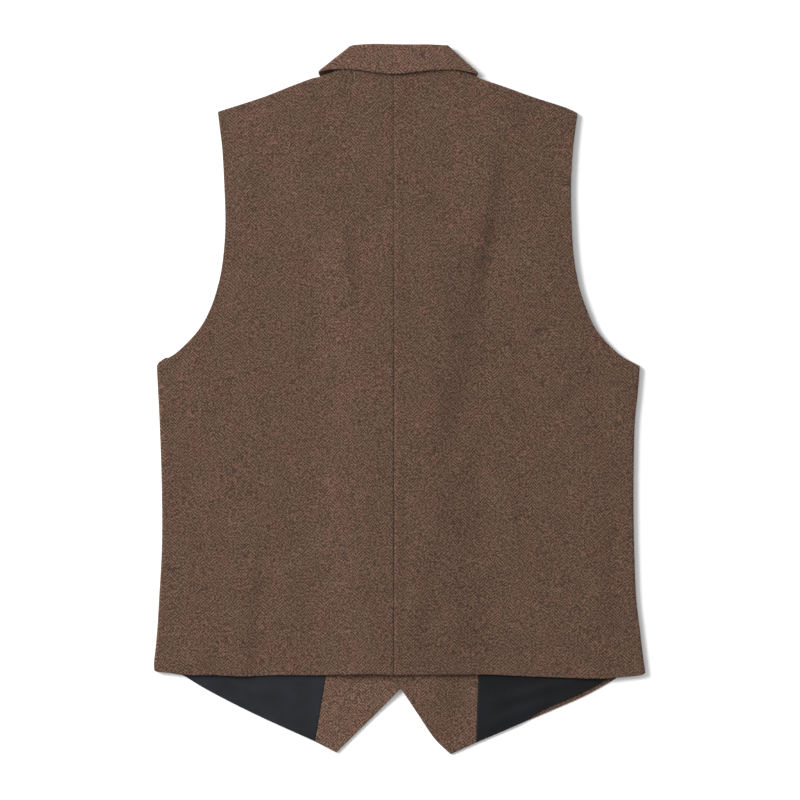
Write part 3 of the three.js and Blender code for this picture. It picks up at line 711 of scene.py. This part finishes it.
def bent_leg(roll, notch, tip):
    """The collar's or lapel's end, which runs from the roll line to the notch, then out to its own tip."""
    roll, notch, tip = (np.array(point, float) for point in (roll, notch, tip))
    to_notch = np.linalg.norm(notch - roll)
    length = to_notch + np.linalg.norm(tip - notch)
    along = length * (1 - LEG_SHARES[:-1])
    inner = roll + (notch - roll) * (along / to_notch)[:, None]
    outer = notch + (tip - notch) * ((along - to_notch) / (length - to_notch))[:, None]
    return np.where((along > to_notch)[:, None], outer, inner)


def collar_on_front(side, share):
    """A row of the collar on a front, at a share from the crease to the gorge."""
    station = front_station(side, share)
    way = unit(station["edge"] - station["fold"])
    along, depth, _ = collar_section(station)
    row = np.column_stack([station["fold"] + way * along[:, None], depth])
    names = ("roll", "notch", "collar_tip")
    end = bent_leg(*[GORGE[name] if side == "left" else mirrored(GORGE[name]) for name in names])
    bend = np.clip((share - BEND_START) / (1 - BEND_START), 0, 1)
    row[:len(end), :2] = mix(row[:len(end), :2], end, bend)
    return row


def collar_at_crease(side, turn):
    """A row of the collar round its side crease, from front (0) to back (1), leaning to the back's row."""
    crease = crease_frame(side)
    back = back_station(0 if side == "left" else 1)
    way = back["edge"] - back["fold"]
    fall = mix(CREASE_FALL, np.linalg.norm(way), turn)
    station = {"fold": np.zeros(2), "edge": np.array([fall, 0.0]), "stand": CREASE_STAND}
    along, depth, _ = collar_section(station)
    radius = CREASE_RADIUS - depth
    angle = math.pi * turn
    flat = crease["start"] + crease["along"] * along[:, None]
    lean = back["fold"] + unit(way) * along[:, None] - flat
    place = flat + crease["out"] * (radius * math.sin(angle))[:, None] + lean * turn**2
    return np.column_stack([place, CREASE_RADIUS - radius * math.cos(angle)])


def collar_on_back(share):
    station = back_station(share)
    way = unit(station["edge"] - station["fold"])
    along, depth, fall = collar_section(station)
    outer = np.where(depth < FOLD_RADIUS, along / fall, 0)
    flare = COLLAR_FLARE * math.sin(math.pi * share) ** 2 * outer**2
    return np.column_stack([station["fold"] + way * along[:, None], COLLAR_TOP - depth + flare])


def collar_points():
    """Rows of the collar from the left notch, round the back neck, to the right notch."""
    down = shares(COLLAR_END, COLLAR_CELL, fine_start=False)
    turns = np.linspace(0, 1, 13)[1:-1]
    rows = [collar_on_front("left", share) for share in down[::-1]]
    rows += [collar_at_crease("left", turn) for turn in turns]
    rows += [collar_on_back(share) for share in np.linspace(0, 1, 61)]
    rows += [collar_at_crease("right", turn) for turn in turns[::-1]]
    rows += [collar_on_front("right", share) for share in down]
    return np.array(rows)


def lapel_points(side):
    """Rows of a lapel from the gorge down to the foot of the V."""
    def flip(point):
        return np.array(point if side == "left" else mirrored(point), float)

    top, foot = flip(GORGE["roll"]), flip(LAPEL_END)
    down = unit(foot - top)
    edge = through([flip(point) for point in LAPEL_EDGE])
    start = top + down * SEAM * 1.4
    notch = flip(GORGE["notch"]) + down * SEAM * 1.6
    end = bent_leg(start, notch, flip(GORGE["lapel_tip"]))
    rows = []
    for share in shares(LAPEL_LENGTH, LAPEL_CELL):
        fold = mix(start, foot, share)
        way = edge(np.array(share)) - fold
        leg = max(np.linalg.norm(way), FOLD_RADIUS + 0.5)
        along, depth = fold_section(leg, FOLD_RADIUS, LEG_SHARES, FOLD_STEPS, 0)
        place = fold + unit(way) * along[:, None]
        bend = np.clip(1 - share * 9, 0, 1)
        place[:len(end)] = mix(place[:len(end)], end, bend)
        height = FRONT_FACES[side](place[:, 0], place[:, 1]) - LAPEL_LIFT + depth
        rows.append(np.column_stack([place, height]))
    return np.array(rows)


def frame_shift():
    """Where the garment's own origin lies in the frame, in metres, from its top button."""
    low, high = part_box("button_1")
    return np.array([(low.x + high.x) / 2, (low.y + high.y) / 2 - BUTTON["top"] * MM, 0.0])


FRAME_SHIFT = frame_shift()


def deselect_all():
    bpy.ops.object.select_all(action="DESELECT")


def run_lengths(points, axis):
    """Distance along the rows or columns of a grid of points, in the middle of the grid."""
    line = np.take(points, points.shape[1 - axis] // 2, axis=1 - axis)
    return np.concatenate([[0], np.cumsum(np.linalg.norm(np.diff(line, axis=0), axis=1))])


def rim_weights(points):
    """Share of the wall's thickness at each point, rounded off where the cloth is turned at its edges."""
    across, along = run_lengths(points, 1), run_lengths(points, 0)
    weights = 1.0
    for run in (across[None, :], along[:, None]):
        away = np.minimum(run, run.max() - run)
        weights = weights * np.sqrt(1 - (1 - np.clip(away / 1.1, 0, 1)) ** 2 * 0.92)
    return weights


def sheet_of_cloth(name, points, weave, thickness, material):
    """A closed sheet of cloth through a grid of points in mm, with its weave's coordinates as UVs."""
    rows, columns = points.shape[:2]
    deselect_all()
    bpy.ops.mesh.primitive_grid_add(x_subdivisions=columns - 1, y_subdivisions=rows - 1, size=1)
    piece = bpy.context.active_object
    piece.name = piece.data.name = name
    mesh = piece.data
    flat = np.zeros(len(mesh.vertices) * 3)
    mesh.vertices.foreach_get("co", flat)
    flat = flat.reshape(-1, 3)
    i = np.rint((flat[:, 0] + 0.5) * (columns - 1)).astype(int)
    j = np.rint((flat[:, 1] + 0.5) * (rows - 1)).astype(int)
    mesh.vertices.foreach_set("co", (points[j, i] * MM + FRAME_SHIFT).ravel())
    corner = np.zeros(len(mesh.loops), int)
    mesh.loops.foreach_get("vertex_index", corner)
    mesh.uv_layers[0].name = "UVMap"
    mesh.uv_layers[0].data.foreach_set("uv", (weave[j, i] * MM)[corner].ravel())
    edge = piece.vertex_groups.new(name="turned_edge")
    weights = rim_weights(points)[j, i]
    for value in np.unique(np.round(weights, 3)):
        chosen = np.flatnonzero(np.round(weights, 3) == value)
        edge.add(chosen.tolist(), float(value), "REPLACE")
    mesh.update()
    wall = piece.modifiers.new("Wall", "SOLIDIFY")
    wall.thickness = thickness * MM
    wall.offset = 0
    wall.vertex_group = edge.name
    bpy.ops.object.modifier_apply(modifier=wall.name)
    piece.vertex_groups.clear()
    bpy.ops.object.shade_smooth()
    piece.data.materials.clear()
    piece.data.materials.append(material)
    return piece


def laid(piece, nodes):
    """Ties a piece of cloth to the frame and hides the parts of the frame that it was made from."""
    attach(piece, BODY)
    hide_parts(*nodes)


def add_node(tree, kind, inputs=None, **settings):
    """Adds a node with its settings, and sets its inputs or links them to an output or a node's first one."""
    node = tree.nodes.new(kind)
    for name, value in settings.items():
        setattr(node, name, value)
    for socket, value in (inputs or {}).items():
        if isinstance(value, bpy.types.Node):
            value = next(output for output in value.outputs if output.enabled)
        if isinstance(value, bpy.types.NodeSocket):
            tree.links.new(value, node.inputs[socket])
        else:
            node.inputs[socket].default_value = value
    return node


def new_material(name):
    material = bpy.data.materials.get(name) or bpy.data.materials.new(name)
    material.use_nodes = True
    material.node_tree.nodes.clear()
    return material


def shade(code, factor):
    """A colour made lighter or darker."""
    return [min(channel * factor, 1) for channel in code[:3]] + [1.0]


def tweed_material(scene, name, shift, lightness):
    """Woollen tweed, carded and woven in a herringbone twill: matt, softly hairy, of two mixed yarns."""
    cloth, colours = scene.waistcoat_cloth, scene.waistcoat_colours
    stripe, twill = cloth.stripe / MM, cloth.twill / MM
    material = new_material(name)
    tree = material.node_tree
    uv = add_node(tree, "ShaderNodeUVMap", uv_map="UVMap")
    mm = add_node(tree, "ShaderNodeMapping", {0: uv, "Location": (*shift, 0), "Scale": (1000, 1000, 1000)})
    # Handwoven yarns wander by about a millimetre
    drift = add_node(tree, "ShaderNodeTexNoise", {"Vector": mm, "Scale": 1 / 22, "Detail": 6.0})
    woven = add_node(tree, "ShaderNodeVectorMath", {0: drift.outputs["Color"], 1: (4, 4, 4), 2: mm},
                     operation="MULTIPLY_ADD")
    split = add_node(tree, "ShaderNodeSeparateXYZ", {0: woven})
    slant = add_node(tree, "ShaderNodeMath", {0: split.outputs[0], 1: stripe}, operation="PINGPONG")
    turn = add_node(tree, "ShaderNodeMath", {0: split.outputs[0], 1: 2 * stripe}, operation="FLOORED_MODULO")
    side = add_node(tree, "ShaderNodeMath", {0: turn, 1: stripe}, operation="GREATER_THAN")
    broken = add_node(tree, "ShaderNodeMath", {0: side, 1: twill / 2, 2: slant}, operation="MULTIPLY_ADD")
    place = add_node(tree, "ShaderNodeMath", {0: broken, 1: split.outputs[1]}, operation="ADD")
    angle = add_node(tree, "ShaderNodeMath", {0: place, 1: 2 * math.pi / twill}, operation="MULTIPLY")
    wave = add_node(tree, "ShaderNodeMath", {0: angle}, operation="SINE")
    # The milled nap hides the twill in places
    milled = add_node(tree, "ShaderNodeTexNoise", {"Vector": mm, "Scale": 1 / 7, "Detail": 2.0})
    clear = add_node(tree, "ShaderNodeMapRange", {0: milled, 1: 0.4, 2: 0.62, 3: 0.0, 4: 0.15})
    # Mixed fibres in each yarn, about 1.8 mm long as drawn, coarser than the real 0.3 mm so that they show
    flecks = add_node(tree, "ShaderNodeTexNoise", {
        "Vector": woven, "Scale": 0.55, "Detail": 2.0, "Roughness": 0.8})
    yarn = add_node(tree, "ShaderNodeMath", {0: wave, 1: clear, 2: flecks}, operation="MULTIPLY_ADD")
    # Yarns spun thicker and thinner make the cloth lighter and darker over a few centimetres
    spun = add_node(tree, "ShaderNodeTexNoise", {"Vector": mm, "Scale": 1 / 26, "Detail": 2.0})
    mottled = add_node(tree, "ShaderNodeMath", {0: spun, 1: 0.06, 2: yarn}, operation="MULTIPLY_ADD")
    tone = add_node(tree, "ShaderNodeMapRange", {0: mottled, 1: 0.45, 2: 0.68})
    # Russet and moss mixtures in small patches and in streaks along the warp
    long_way = add_node(tree, "ShaderNodeMapping", {0: mm, "Scale": (1 / 24, 1 / 40, 1)})
    patches = add_node(tree, "ShaderNodeTexNoise", {
        "Vector": long_way, "Scale": 1.0, "Detail": 2.0, "Roughness": 0.5})
    warmth = add_node(tree, "ShaderNodeMapRange", {0: patches, 1: 0.05, 2: 0.95})
    # The lightness factor paints light into the tweed's colour: the facings, collar and lapels are lighter
    # copies of the same cloth, where more light falls on them
    dark, light = 0.22 * lightness, 1.1 * lightness
    low = add_node(tree, "ShaderNodeMix", {
        0: warmth, 6: shade(colours.tweed_olive, dark), 7: shade(colours.tweed_red, dark)}, data_type="RGBA")
    high = add_node(tree, "ShaderNodeMix", {
        0: warmth, 6: shade(colours.tweed_olive, light), 7: shade(colours.tweed_red, light)},
        data_type="RGBA")
    colour = add_node(tree, "ShaderNodeMix", {0: tone, 6: low, 7: high}, data_type="RGBA")
    bump = add_node(tree, "ShaderNodeBump", {"Height": yarn, "Strength": 0.6, "Distance": 0.4 * MM})
    shader = add_node(tree, "ShaderNodeBsdfPrincipled", {
        "Base Color": colour, "Normal": bump, "Roughness": 0.95, "IOR": 1.5, "Specular IOR Level": 0.2,
        "Sheen Weight": 0.12, "Sheen Roughness": 0.6, "Sheen Tint": (0.9, 0.8, 0.7, 1)})
    add_node(tree, "ShaderNodeOutputMaterial", {0: shader})
    return material


def lining_material(scene, name, lightness):
    """Viscose satin lining, woven of bright filament: smooth, with a soft gloss along its folds."""
    colours = scene.waistcoat_colours
    material = new_material(name)
    tree = material.node_tree
    uv = add_node(tree, "ShaderNodeUVMap", uv_map="UVMap")
    mm = add_node(tree, "ShaderNodeMapping", {0: uv, "Scale": (1000, 1000, 1000)})
    cloud = add_node(tree, "ShaderNodeTexNoise", {"Vector": mm, "Scale": 1 / 30, "Detail": 3.0})
    tone = add_node(tree, "ShaderNodeMapRange", {0: cloud, 1: 0.35, 2: 0.65})
    # The lightness factor paints light and shade into the lining's colour: the left front lining is made
    # lighter and the right one darker, as the light falls on them
    dark, light = 0.8 * lightness, 1.2 * lightness
    colour = add_node(tree, "ShaderNodeMix", {
        0: tone, 6: shade(colours.lining, dark), 7: shade(colours.lining, light)}, data_type="RGBA")
    # Fine twill of 0.25 mm threads, drawn 1 mm apart so that it shows
    threads = add_node(tree, "ShaderNodeTexWave", {"Vector": mm, "Scale": 1 / math.pi},
                       bands_direction="DIAGONAL")
    bump = add_node(tree, "ShaderNodeBump", {"Height": threads, "Strength": 0.15, "Distance": 0.05 * MM})
    shader = add_node(tree, "ShaderNodeBsdfPrincipled", {
        "Base Color": colour, "Normal": bump, "Roughness": 0.62, "IOR": 1.45, "Specular IOR Level": 0.16,
        "Sheen Weight": 0.06, "Sheen Roughness": 0.4})
    add_node(tree, "ShaderNodeOutputMaterial", {0: shader})
    return material


def resin_material(scene):
    """Polished resin cast to look like horn: dark brown with paler grain, glossy."""
    colours = scene.waistcoat_colours
    material = new_material("Polished horn-effect resin")
    tree = material.node_tree
    place = add_node(tree, "ShaderNodeTexCoord").outputs["Object"]
    grain = add_node(tree, "ShaderNodeMapping", {0: place, "Scale": (900, 250, 900)})
    bands = add_node(tree, "ShaderNodeTexNoise", {"Vector": grain, "Scale": 0.5, "Detail": 4.0})
    tone = add_node(tree, "ShaderNodeMapRange", {0: bands, 1: 0.35, 2: 0.68})
    colour = add_node(tree, "ShaderNodeMix", {
        0: tone, 6: shade(colours.horn, 0.6), 7: shade(colours.horn, 2.2)}, data_type="RGBA")
    shader = add_node(tree, "ShaderNodeBsdfPrincipled", {
        "Base Color": colour, "Roughness": 0.28, "IOR": 1.54})
    add_node(tree, "ShaderNodeOutputMaterial", {0: shader})
    return material


def thread_material():
    """Buttonhole twist, a corded silk thread: dark brown with a soft gloss."""
    material = new_material("Buttonhole twist silk")
    tree = material.node_tree
    place = add_node(tree, "ShaderNodeTexCoord").outputs["Object"]
    mm = add_node(tree, "ShaderNodeMapping", {0: place, "Scale": (1000, 1000, 1000)})
    strands = add_node(tree, "ShaderNodeTexWave", {"Vector": mm, "Scale": 0.6},
                       bands_direction="DIAGONAL").outputs["Fac"]
    colour = add_node(tree, "ShaderNodeMix", {0: strands, 6: linear("#2b1d15"), 7: linear("#4a3427")},
                      data_type="RGBA")
    bump = add_node(tree, "ShaderNodeBump", {"Height": strands, "Strength": 0.5, "Distance": 0.1 * MM})
    shader = add_node(tree, "ShaderNodeBsdfPrincipled", {
        "Base Color": colour, "Normal": bump, "Roughness": 0.55, "IOR": 1.5, "Sheen Weight": 0.2})
    add_node(tree, "ShaderNodeOutputMaterial", {0: shader})
    return material


def back_finish(points, v, side, cloth):
    """Sinks the centre seam and raises the ridge of its pressed allowance."""
    away = np.abs(points[..., 0] - CENTRE_BACK)
    sink = cloth.seam_depth / MM * np.clip(1 - away / SEAM_WIDTH, 0, 1) ** 2
    wide = cloth.allowance / MM
    ridge = smoothstep(away, *RIDGE_START) * (1 - smoothstep(away, wide - RIDGE_SLOPE, wide))
    height = cloth.allowance_height / MM * RIDGE_SHARE[side]
    hem = v * BACK_LENGTH
    points[..., 2] += height * ridge * smoothstep(hem, *RIDGE_HEM) - sink
    return points


class WAISTCOAT_OT_back(bpy.types.Operator):
    """Sews the two halves of the tweed back and lays the back lining under them"""
    bl_idname = "waistcoat.back"
    bl_label = "Back"

    def execute(self, context):
        cloth = context.scene.waistcoat_cloth
        cell = cloth.cell / MM
        lining_halves = []
        for number, side in enumerate(SIDES):
            panel = back_panel(side)
            patch = panel["patches"][0]
            u, v = np.meshgrid(shares(patch["width"], cell), shares(BACK_LENGTH, cell))
            points = panel_middle(panel, patch, u, v)
            points = back_finish(points, v, side, cloth)
            weave = patch_points(patch, u, v)
            label = f"Herringbone wool tweed, back {side}"
            tweed = tweed_material(context.scene, label, (3.1 * number, 0.9 * number), 1.0)
            piece = sheet_of_cloth(f"tweed_back_{side}", points, weave, SHELL, tweed)
            laid(piece, [f"back_{side}"])
            top = 1 - ROLL_RADIUS / BACK_LENGTH
            coarse = cell * LINING_CELLS
            u, v = np.meshgrid(shares(patch["width"], coarse, fine_start=False), shares(BACK_LENGTH, coarse))
            reach = 1 - (1 - smoothstep(v, SEAM_TOP, UNDERARM_ABOVE)) * ROLL_RADIUS / patch["width"]
            under = panel_middle(panel, patch, u * reach, LINING_HEM + v * (top - LINING_HEM))
            under = layer(under, 1, SHELL / 2 + SEAM + LINING / 2)
            away = np.abs(under[..., 0] - CENTRE_BACK)
            under[..., 2] -= LINING_DIP * (1 - smoothstep(away, 0, LINING_DIP_WIDTH))
            lining_halves.append(under)
        left, right = lining_halves
        rows = np.concatenate([left[:, ::-1], right[:, 1:]], axis=1)
        satin = lining_material(context.scene, "Viscose satin lining, back", 1.0)
        piece = sheet_of_cloth("back_lining_satin", rows, rows[..., :2], LINING, satin)
        laid(piece, ["back_lining"])
        return {"FINISHED"}


class WAISTCOAT_OT_fronts(bpy.types.Operator):
    """Sews the two tweed fronts, with their facings and linings"""
    bl_idname = "waistcoat.fronts"
    bl_label = "Fronts"

    def execute(self, context):
        cell = context.scene.waistcoat_cloth.cell / MM * FRONT_CELLS
        for number, side in enumerate(SIDES):
            label = f"Viscose satin lining, front {side}"
            satin = lining_material(context.scene, label, LINING_LIGHTNESS[side])
            panel = front_panel(side)
            inner, outer = panel["patches"]
            v = shares(FRONT_LENGTH, cell)
            inner_u = shares(inner["width"], cell, fine_end=False)
            outer_u = shares(outer["width"], cell, fine_start=False)
            halves = [panel_middle(panel, inner, *np.meshgrid(inner_u, v)),
                      panel_middle(panel, outer, *np.meshgrid(outer_u, v))[:, 1:]]
            points = np.concatenate(halves, axis=1)
            label = f"Herringbone wool tweed, front {side}"
            tweed = tweed_material(context.scene, label, (1.7 + 2 * number, 2.2), 1.0)
            label = f"Herringbone wool tweed, facing {side}"
            facing_tweed = tweed_material(context.scene, label, (4.1 + number, 1.2), FACING_LIGHTNESS[side])
            piece = sheet_of_cloth(f"tweed_front_{side}", points, points[..., :2], SHELL, tweed)
            laid(piece, [f"front_{side}"])
            top = 1 - ROLL_RADIUS / FRONT_LENGTH
            for name, patch, slot, wall, material in (
                    ("facing", inner, "tweed", FACING, facing_tweed),
                    ("lining", outer, "lining", LINING, satin)):
                u, v_grid = np.meshgrid(shares(patch["width"], cell), shares(FRONT_LENGTH, cell) * top)
                if patch["outermost"]:
                    below = 1 - smoothstep(v_grid, SEAM_TOP, UNDERARM_ABOVE)
                    u = u * (1 - below * ROLL_RADIUS / patch["width"])
                if patch["outermost"] and side == "right":
                    # The tweed is turned in wider along the middle of this edge, and shows below the lining
                    turned = smoothstep(u, 0.22, 0.4) * (1 - smoothstep(u, 0.74, 0.82))
                    v_grid = v_grid + LINING_SHY * turned * (1 - v_grid)
                under = layer(panel_middle(panel, patch, u, v_grid), -1, SHELL / 2 + SEAM + wall / 2)
                seam = 0 if patch["outermost"] else -1
                beside = 1 if patch["outermost"] else -2
                under[:, seam] += unit(under[:, beside] - under[:, seam]) * SEAM / 2
                if patch["outermost"]:
                    under[..., 2] -= crease_depth(under[..., 0], under[..., 1], LINING_CREASES)
                label = "tweed_facing" if name == "facing" else "front_lining_satin"
                piece = sheet_of_cloth(f"{label}_{side}", under, under[..., :2], wall, material)
                laid(piece, [f"{name}_{side}"])
        return {"FINISHED"}


class WAISTCOAT_OT_collar(bpy.types.Operator):
    """Folds the collar, stand and fall, round the back neck from notch to notch"""
    bl_idname = "waistcoat.collar"
    bl_label = "Collar"

    def execute(self, context):
        points = collar_points()
        along = np.concatenate([[0], np.cumsum(np.linalg.norm(np.diff(points[:, 20], axis=0), axis=1))])
        steps = np.linalg.norm(np.diff(points, axis=1), axis=2)
        across = np.concatenate([np.zeros((len(points), 1)), np.cumsum(steps, axis=1)], axis=1)
        weave = np.stack([np.broadcast_to(along[:, None], across.shape), across], axis=-1)
        tweed = tweed_material(context.scene, "Herringbone wool tweed, collar", (2.0, 1.0), COLLAR_LIGHTNESS)
        piece = sheet_of_cloth("tweed_collar", points, weave, LAPEL, tweed)
        laid(piece, ["collar"])
        return {"FINISHED"}


class WAISTCOAT_OT_lapels(bpy.types.Operator):
    """Folds the two lapels back along their roll lines"""
    bl_idname = "waistcoat.lapels"
    bl_label = "Lapels"

    def execute(self, context):
        for number, side in enumerate(SIDES):
            points = lapel_points(side)
            label = f"Herringbone wool tweed, lapel {side}"
            tweed = tweed_material(context.scene, label, (0.6 + number, 3.0), LAPEL_LIGHTNESS)
            piece = sheet_of_cloth(f"tweed_lapel_{side}", points, points[..., :2], LAPEL, tweed)
            laid(piece, [f"lapel_{side}"])
        return {"FINISHED"}


class WAISTCOAT_OT_buttons(bpy.types.Operator):
    """Sews on the horn-effect buttons and works the buttonholes of the left front"""
    bl_idname = "waistcoat.buttons"
    bl_label = "Buttons"

    def execute(self, context):
        resin, twist = resin_material(context.scene), thread_material()
        pattern = turned_button(resin, twist)
        for number in range(1, BUTTON["count"] + 1):
            button = pattern
            if number > 1:
                button = pattern.copy()
                button.data = pattern.data.copy()
                context.collection.objects.link(button)
                lower = Vector((0, -(number - 1) * BUTTON["spacing"] * MM, 0))
                for vertex in button.data.vertices:
                    vertex.co += lower
            button.name = button.data.name = f"horn_button_{number}"
        for number in range(1, BUTTON["count"] + 1):
            button = bpy.data.objects[f"horn_button_{number}"]
            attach(button, BODY)
            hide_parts(f"button_{number}")
        holes = worked_buttonholes(twist)
        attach(holes, BODY)
        return {"FINISHED"}


def turned_button(resin, twist):
    """A four-hole button, face down on the floor, with the thread that holds it."""
    radius, thickness = BUTTON["diameter"] / 2, BUTTON["thickness"]
    dish_slope, edge_round = 0.5, 0.45
    hole_circle, hole_radius = 1.9, 0.75
    hole_offset, thread_radius = 1.34, 0.26
    centre = Vector(FRAME_SHIFT) + Vector((0, BUTTON["top"] * MM, thickness * MM / 2))
    deselect_all()
    bpy.ops.mesh.primitive_cylinder_add(
        vertices=64, radius=radius * MM, depth=thickness * MM, location=centre)
    button = bpy.context.active_object
    bpy.ops.object.transform_apply(location=True)
    bpy.ops.object.mode_set(mode="EDIT")
    bpy.ops.mesh.select_all(action="DESELECT")
    bpy.ops.object.mode_set(mode="OBJECT")
    for face in button.data.polygons:
        face.select = face.normal.z < -0.9
    bpy.ops.object.mode_set(mode="EDIT")
    bpy.ops.mesh.inset(thickness=BUTTON["rim"] * MM)
    bpy.ops.mesh.inset(thickness=dish_slope * MM)
    bpy.ops.transform.translate(value=(0, 0, BUTTON["dish"] * MM))
    bpy.ops.object.mode_set(mode="OBJECT")
    rounded = button.modifiers.new("Rounded", "BEVEL")
    rounded.width = edge_round * MM
    rounded.segments = 3
    rounded.angle_limit = math.radians(50)
    bpy.ops.object.modifier_apply(modifier=rounded.name)
    drills = []
    for quarter in range(4):
        angle = math.pi / 4 + quarter * math.pi / 2
        place = centre + Vector((math.cos(angle), math.sin(angle), 0)) * hole_circle * MM
        deselect_all()
        bpy.ops.mesh.primitive_cylinder_add(
            vertices=20, radius=hole_radius * MM, depth=6 * MM, location=place)
        drills.append(bpy.context.active_object)
    drill = join(drills)
    deselect_all()
    button.select_set(True)
    bpy.context.view_layer.objects.active = button
    drilled = button.modifiers.new("Drilled", "BOOLEAN")
    drilled.object = drill
    drilled.solver = "EXACT"
    bpy.ops.object.modifier_apply(modifier=drilled.name)
    bpy.data.objects.remove(drill)
    bpy.ops.object.shade_smooth_by_angle(angle=math.radians(35))
    button.data.materials.clear()
    button.data.materials.append(resin)
    threads = []
    for row in (-1, 1):
        for strand in (-thread_radius, thread_radius):
            rise = 0.05 - (thickness / 2 - BUTTON["dish"])
            place = centre + Vector((0, row * hole_offset + strand, rise)) * MM
            threads.append(stitch(place, hole_offset * 2 + 0.9, thread_radius))
    thread = join(threads)
    thread.data.materials.clear()
    thread.data.materials.append(twist)
    return join([button, thread])


def stitch(place, length, radius):
    """One strand of thread, drawn along X over the button's bridge."""
    deselect_all()
    bpy.ops.mesh.primitive_uv_sphere_add(segments=10, ring_count=8, radius=radius * MM, location=place)
    strand = bpy.context.active_object
    strand.scale = (length / (2 * radius), 1, 1)
    bpy.ops.object.transform_apply(location=True, scale=True)
    bpy.ops.object.shade_smooth()
    return strand


def join(objects):
    deselect_all()
    for item in objects:
        item.select_set(True)
    bpy.context.view_layer.objects.active = objects[0]
    bpy.ops.object.transform_apply(location=True, rotation=True, scale=True)
    if len(objects) > 1:
        bpy.ops.object.join()
    return bpy.context.active_object


def worked_buttonholes(twist):
    """A loop of close stitches round each buttonhole, on the outer face of the left front."""
    length, width, cord = 19.0, 3.2, 0.3
    rings = []
    for number in range(BUTTON["count"]):
        y = BUTTON["top"] - number * BUTTON["spacing"]
        place = Vector(FRAME_SHIFT) + Vector((-length / 2 + 3, y, BUTTON_LIFT)) * MM
        deselect_all()
        bpy.ops.mesh.primitive_torus_add(
            location=place, major_radius=width / 2 * MM, minor_radius=cord * MM,
            major_segments=40, minor_segments=8)
        ring = bpy.context.active_object
        bpy.ops.object.transform_apply(location=True)
        for vertex in ring.data.vertices:
            half = (length - width) / 2 * MM
            vertex.co.x += math.copysign(half, vertex.co.x - place.x)
        bpy.ops.object.shade_smooth()
        rings.append(ring)
    holes = join(rings)
    holes.name = holes.data.name = "worked_buttonholes"
    holes.data.materials.clear()
    holes.data.materials.append(twist)
    return holes


class WAISTCOAT_OT_stage(bpy.types.Operator):
    """Sets the floor, the soft lights and the camera over the waistcoat"""
    bl_idname = "waistcoat.stage"
    bl_label = "Stage"

    def execute(self, context):
        stage = context.scene.waistcoat_stage
        deselect_all()
        bpy.ops.mesh.primitive_plane_add(size=12, location=(0, 0, -0.0002))
        floor = context.active_object
        floor.name = "studio_floor"
        paper = new_material("Matt white backing paper")
        shader = add_node(paper.node_tree, "ShaderNodeBsdfPrincipled", {
            "Base Color": linear("#f7f7f7"), "Roughness": 1.0, "Specular IOR Level": 0.0})
        add_node(paper.node_tree, "ShaderNodeOutputMaterial", {0: shader.outputs[0]})
        floor.data.materials.append(paper)
        # The key light stands at the upper left, as the photo's shading shows
        place, softbox_size = Vector((-3.7, 1.9, 2.9)), 2.6
        bpy.ops.object.light_add(type="AREA", location=place)
        key = context.active_object
        key.name = "key_softbox"
        key.data.energy = stage.key_power
        key.data.size = softbox_size
        key.rotation_euler = (-place).to_track_quat("-Z", "Y").to_euler()
        world = bpy.data.worlds.get("Studio") or bpy.data.worlds.new("Studio")
        world.use_nodes = True
        world.node_tree.nodes.clear()
        sky = add_node(world.node_tree, "ShaderNodeBackground", {
            "Color": (1.0, 1.0, 1.0, 1.0), "Strength": stage.sky_strength})
        add_node(world.node_tree, "ShaderNodeOutputWorld", {0: sky.outputs[0]})
        context.scene.world = world
        context.scene.view_settings.view_transform = "Standard"
        middle = FRAME_SHIFT + np.array([0, -0.51, 0]) * MM
        bpy.ops.object.camera_add(location=(middle[0], middle[1], stage.camera_height), rotation=(0, 0, 0))
        camera = context.active_object
        camera.name = "camera"
        camera.data.sensor_width = 36
        camera.data.lens = camera.data.sensor_width * stage.camera_height / stage.view_width
        context.scene.camera = camera
        return {"FINISHED"}


class WAISTCOAT_PT_panel(bpy.types.Panel):
    """Lists the pieces of the waistcoat and their settings"""
    bl_label = "Waistcoat"
    bl_idname = "WAISTCOAT_PT_panel"
    bl_space_type = "VIEW_3D"
    bl_region_type = "UI"
    bl_category = "Waistcoat"

    def draw(self, context):
        for operator in OPERATORS:
            self.layout.operator(operator.bl_idname)
        for holder in GROUPS:
            group = getattr(context.scene, holder)
            box = self.layout.box()
            for name in group.bl_rna.properties.keys():
                if name not in ("rna_type", "name"):
                    box.prop(group, name)


OPERATORS = [WAISTCOAT_OT_back, WAISTCOAT_OT_fronts, WAISTCOAT_OT_collar, WAISTCOAT_OT_lapels,
             WAISTCOAT_OT_buttons, WAISTCOAT_OT_stage]
GROUPS = {"waistcoat_cloth": WaistcoatCloth, "waistcoat_colours": WaistcoatColours,
          "waistcoat_stage": WaistcoatStage}


def register():
    for item in (*GROUPS.values(), *OPERATORS, WAISTCOAT_PT_panel):
        bpy.utils.register_class(item)
    for name, group in GROUPS.items():
        setattr(bpy.types.Scene, name, PointerProperty(type=group))


def unregister():
    for name in GROUPS:
        delattr(bpy.types.Scene, name)
    for item in (WAISTCOAT_PT_panel, *OPERATORS[::-1], *GROUPS.values()):
        bpy.utils.unregister_class(item)


def main():
    register()
    bpy.ops.waistcoat.back()
    bpy.ops.waistcoat.fronts()
    bpy.ops.waistcoat.collar()
    bpy.ops.waistcoat.lapels()
    bpy.ops.waistcoat.buttons()
    bpy.ops.waistcoat.stage()


if __name__ == "__main__":
    main()
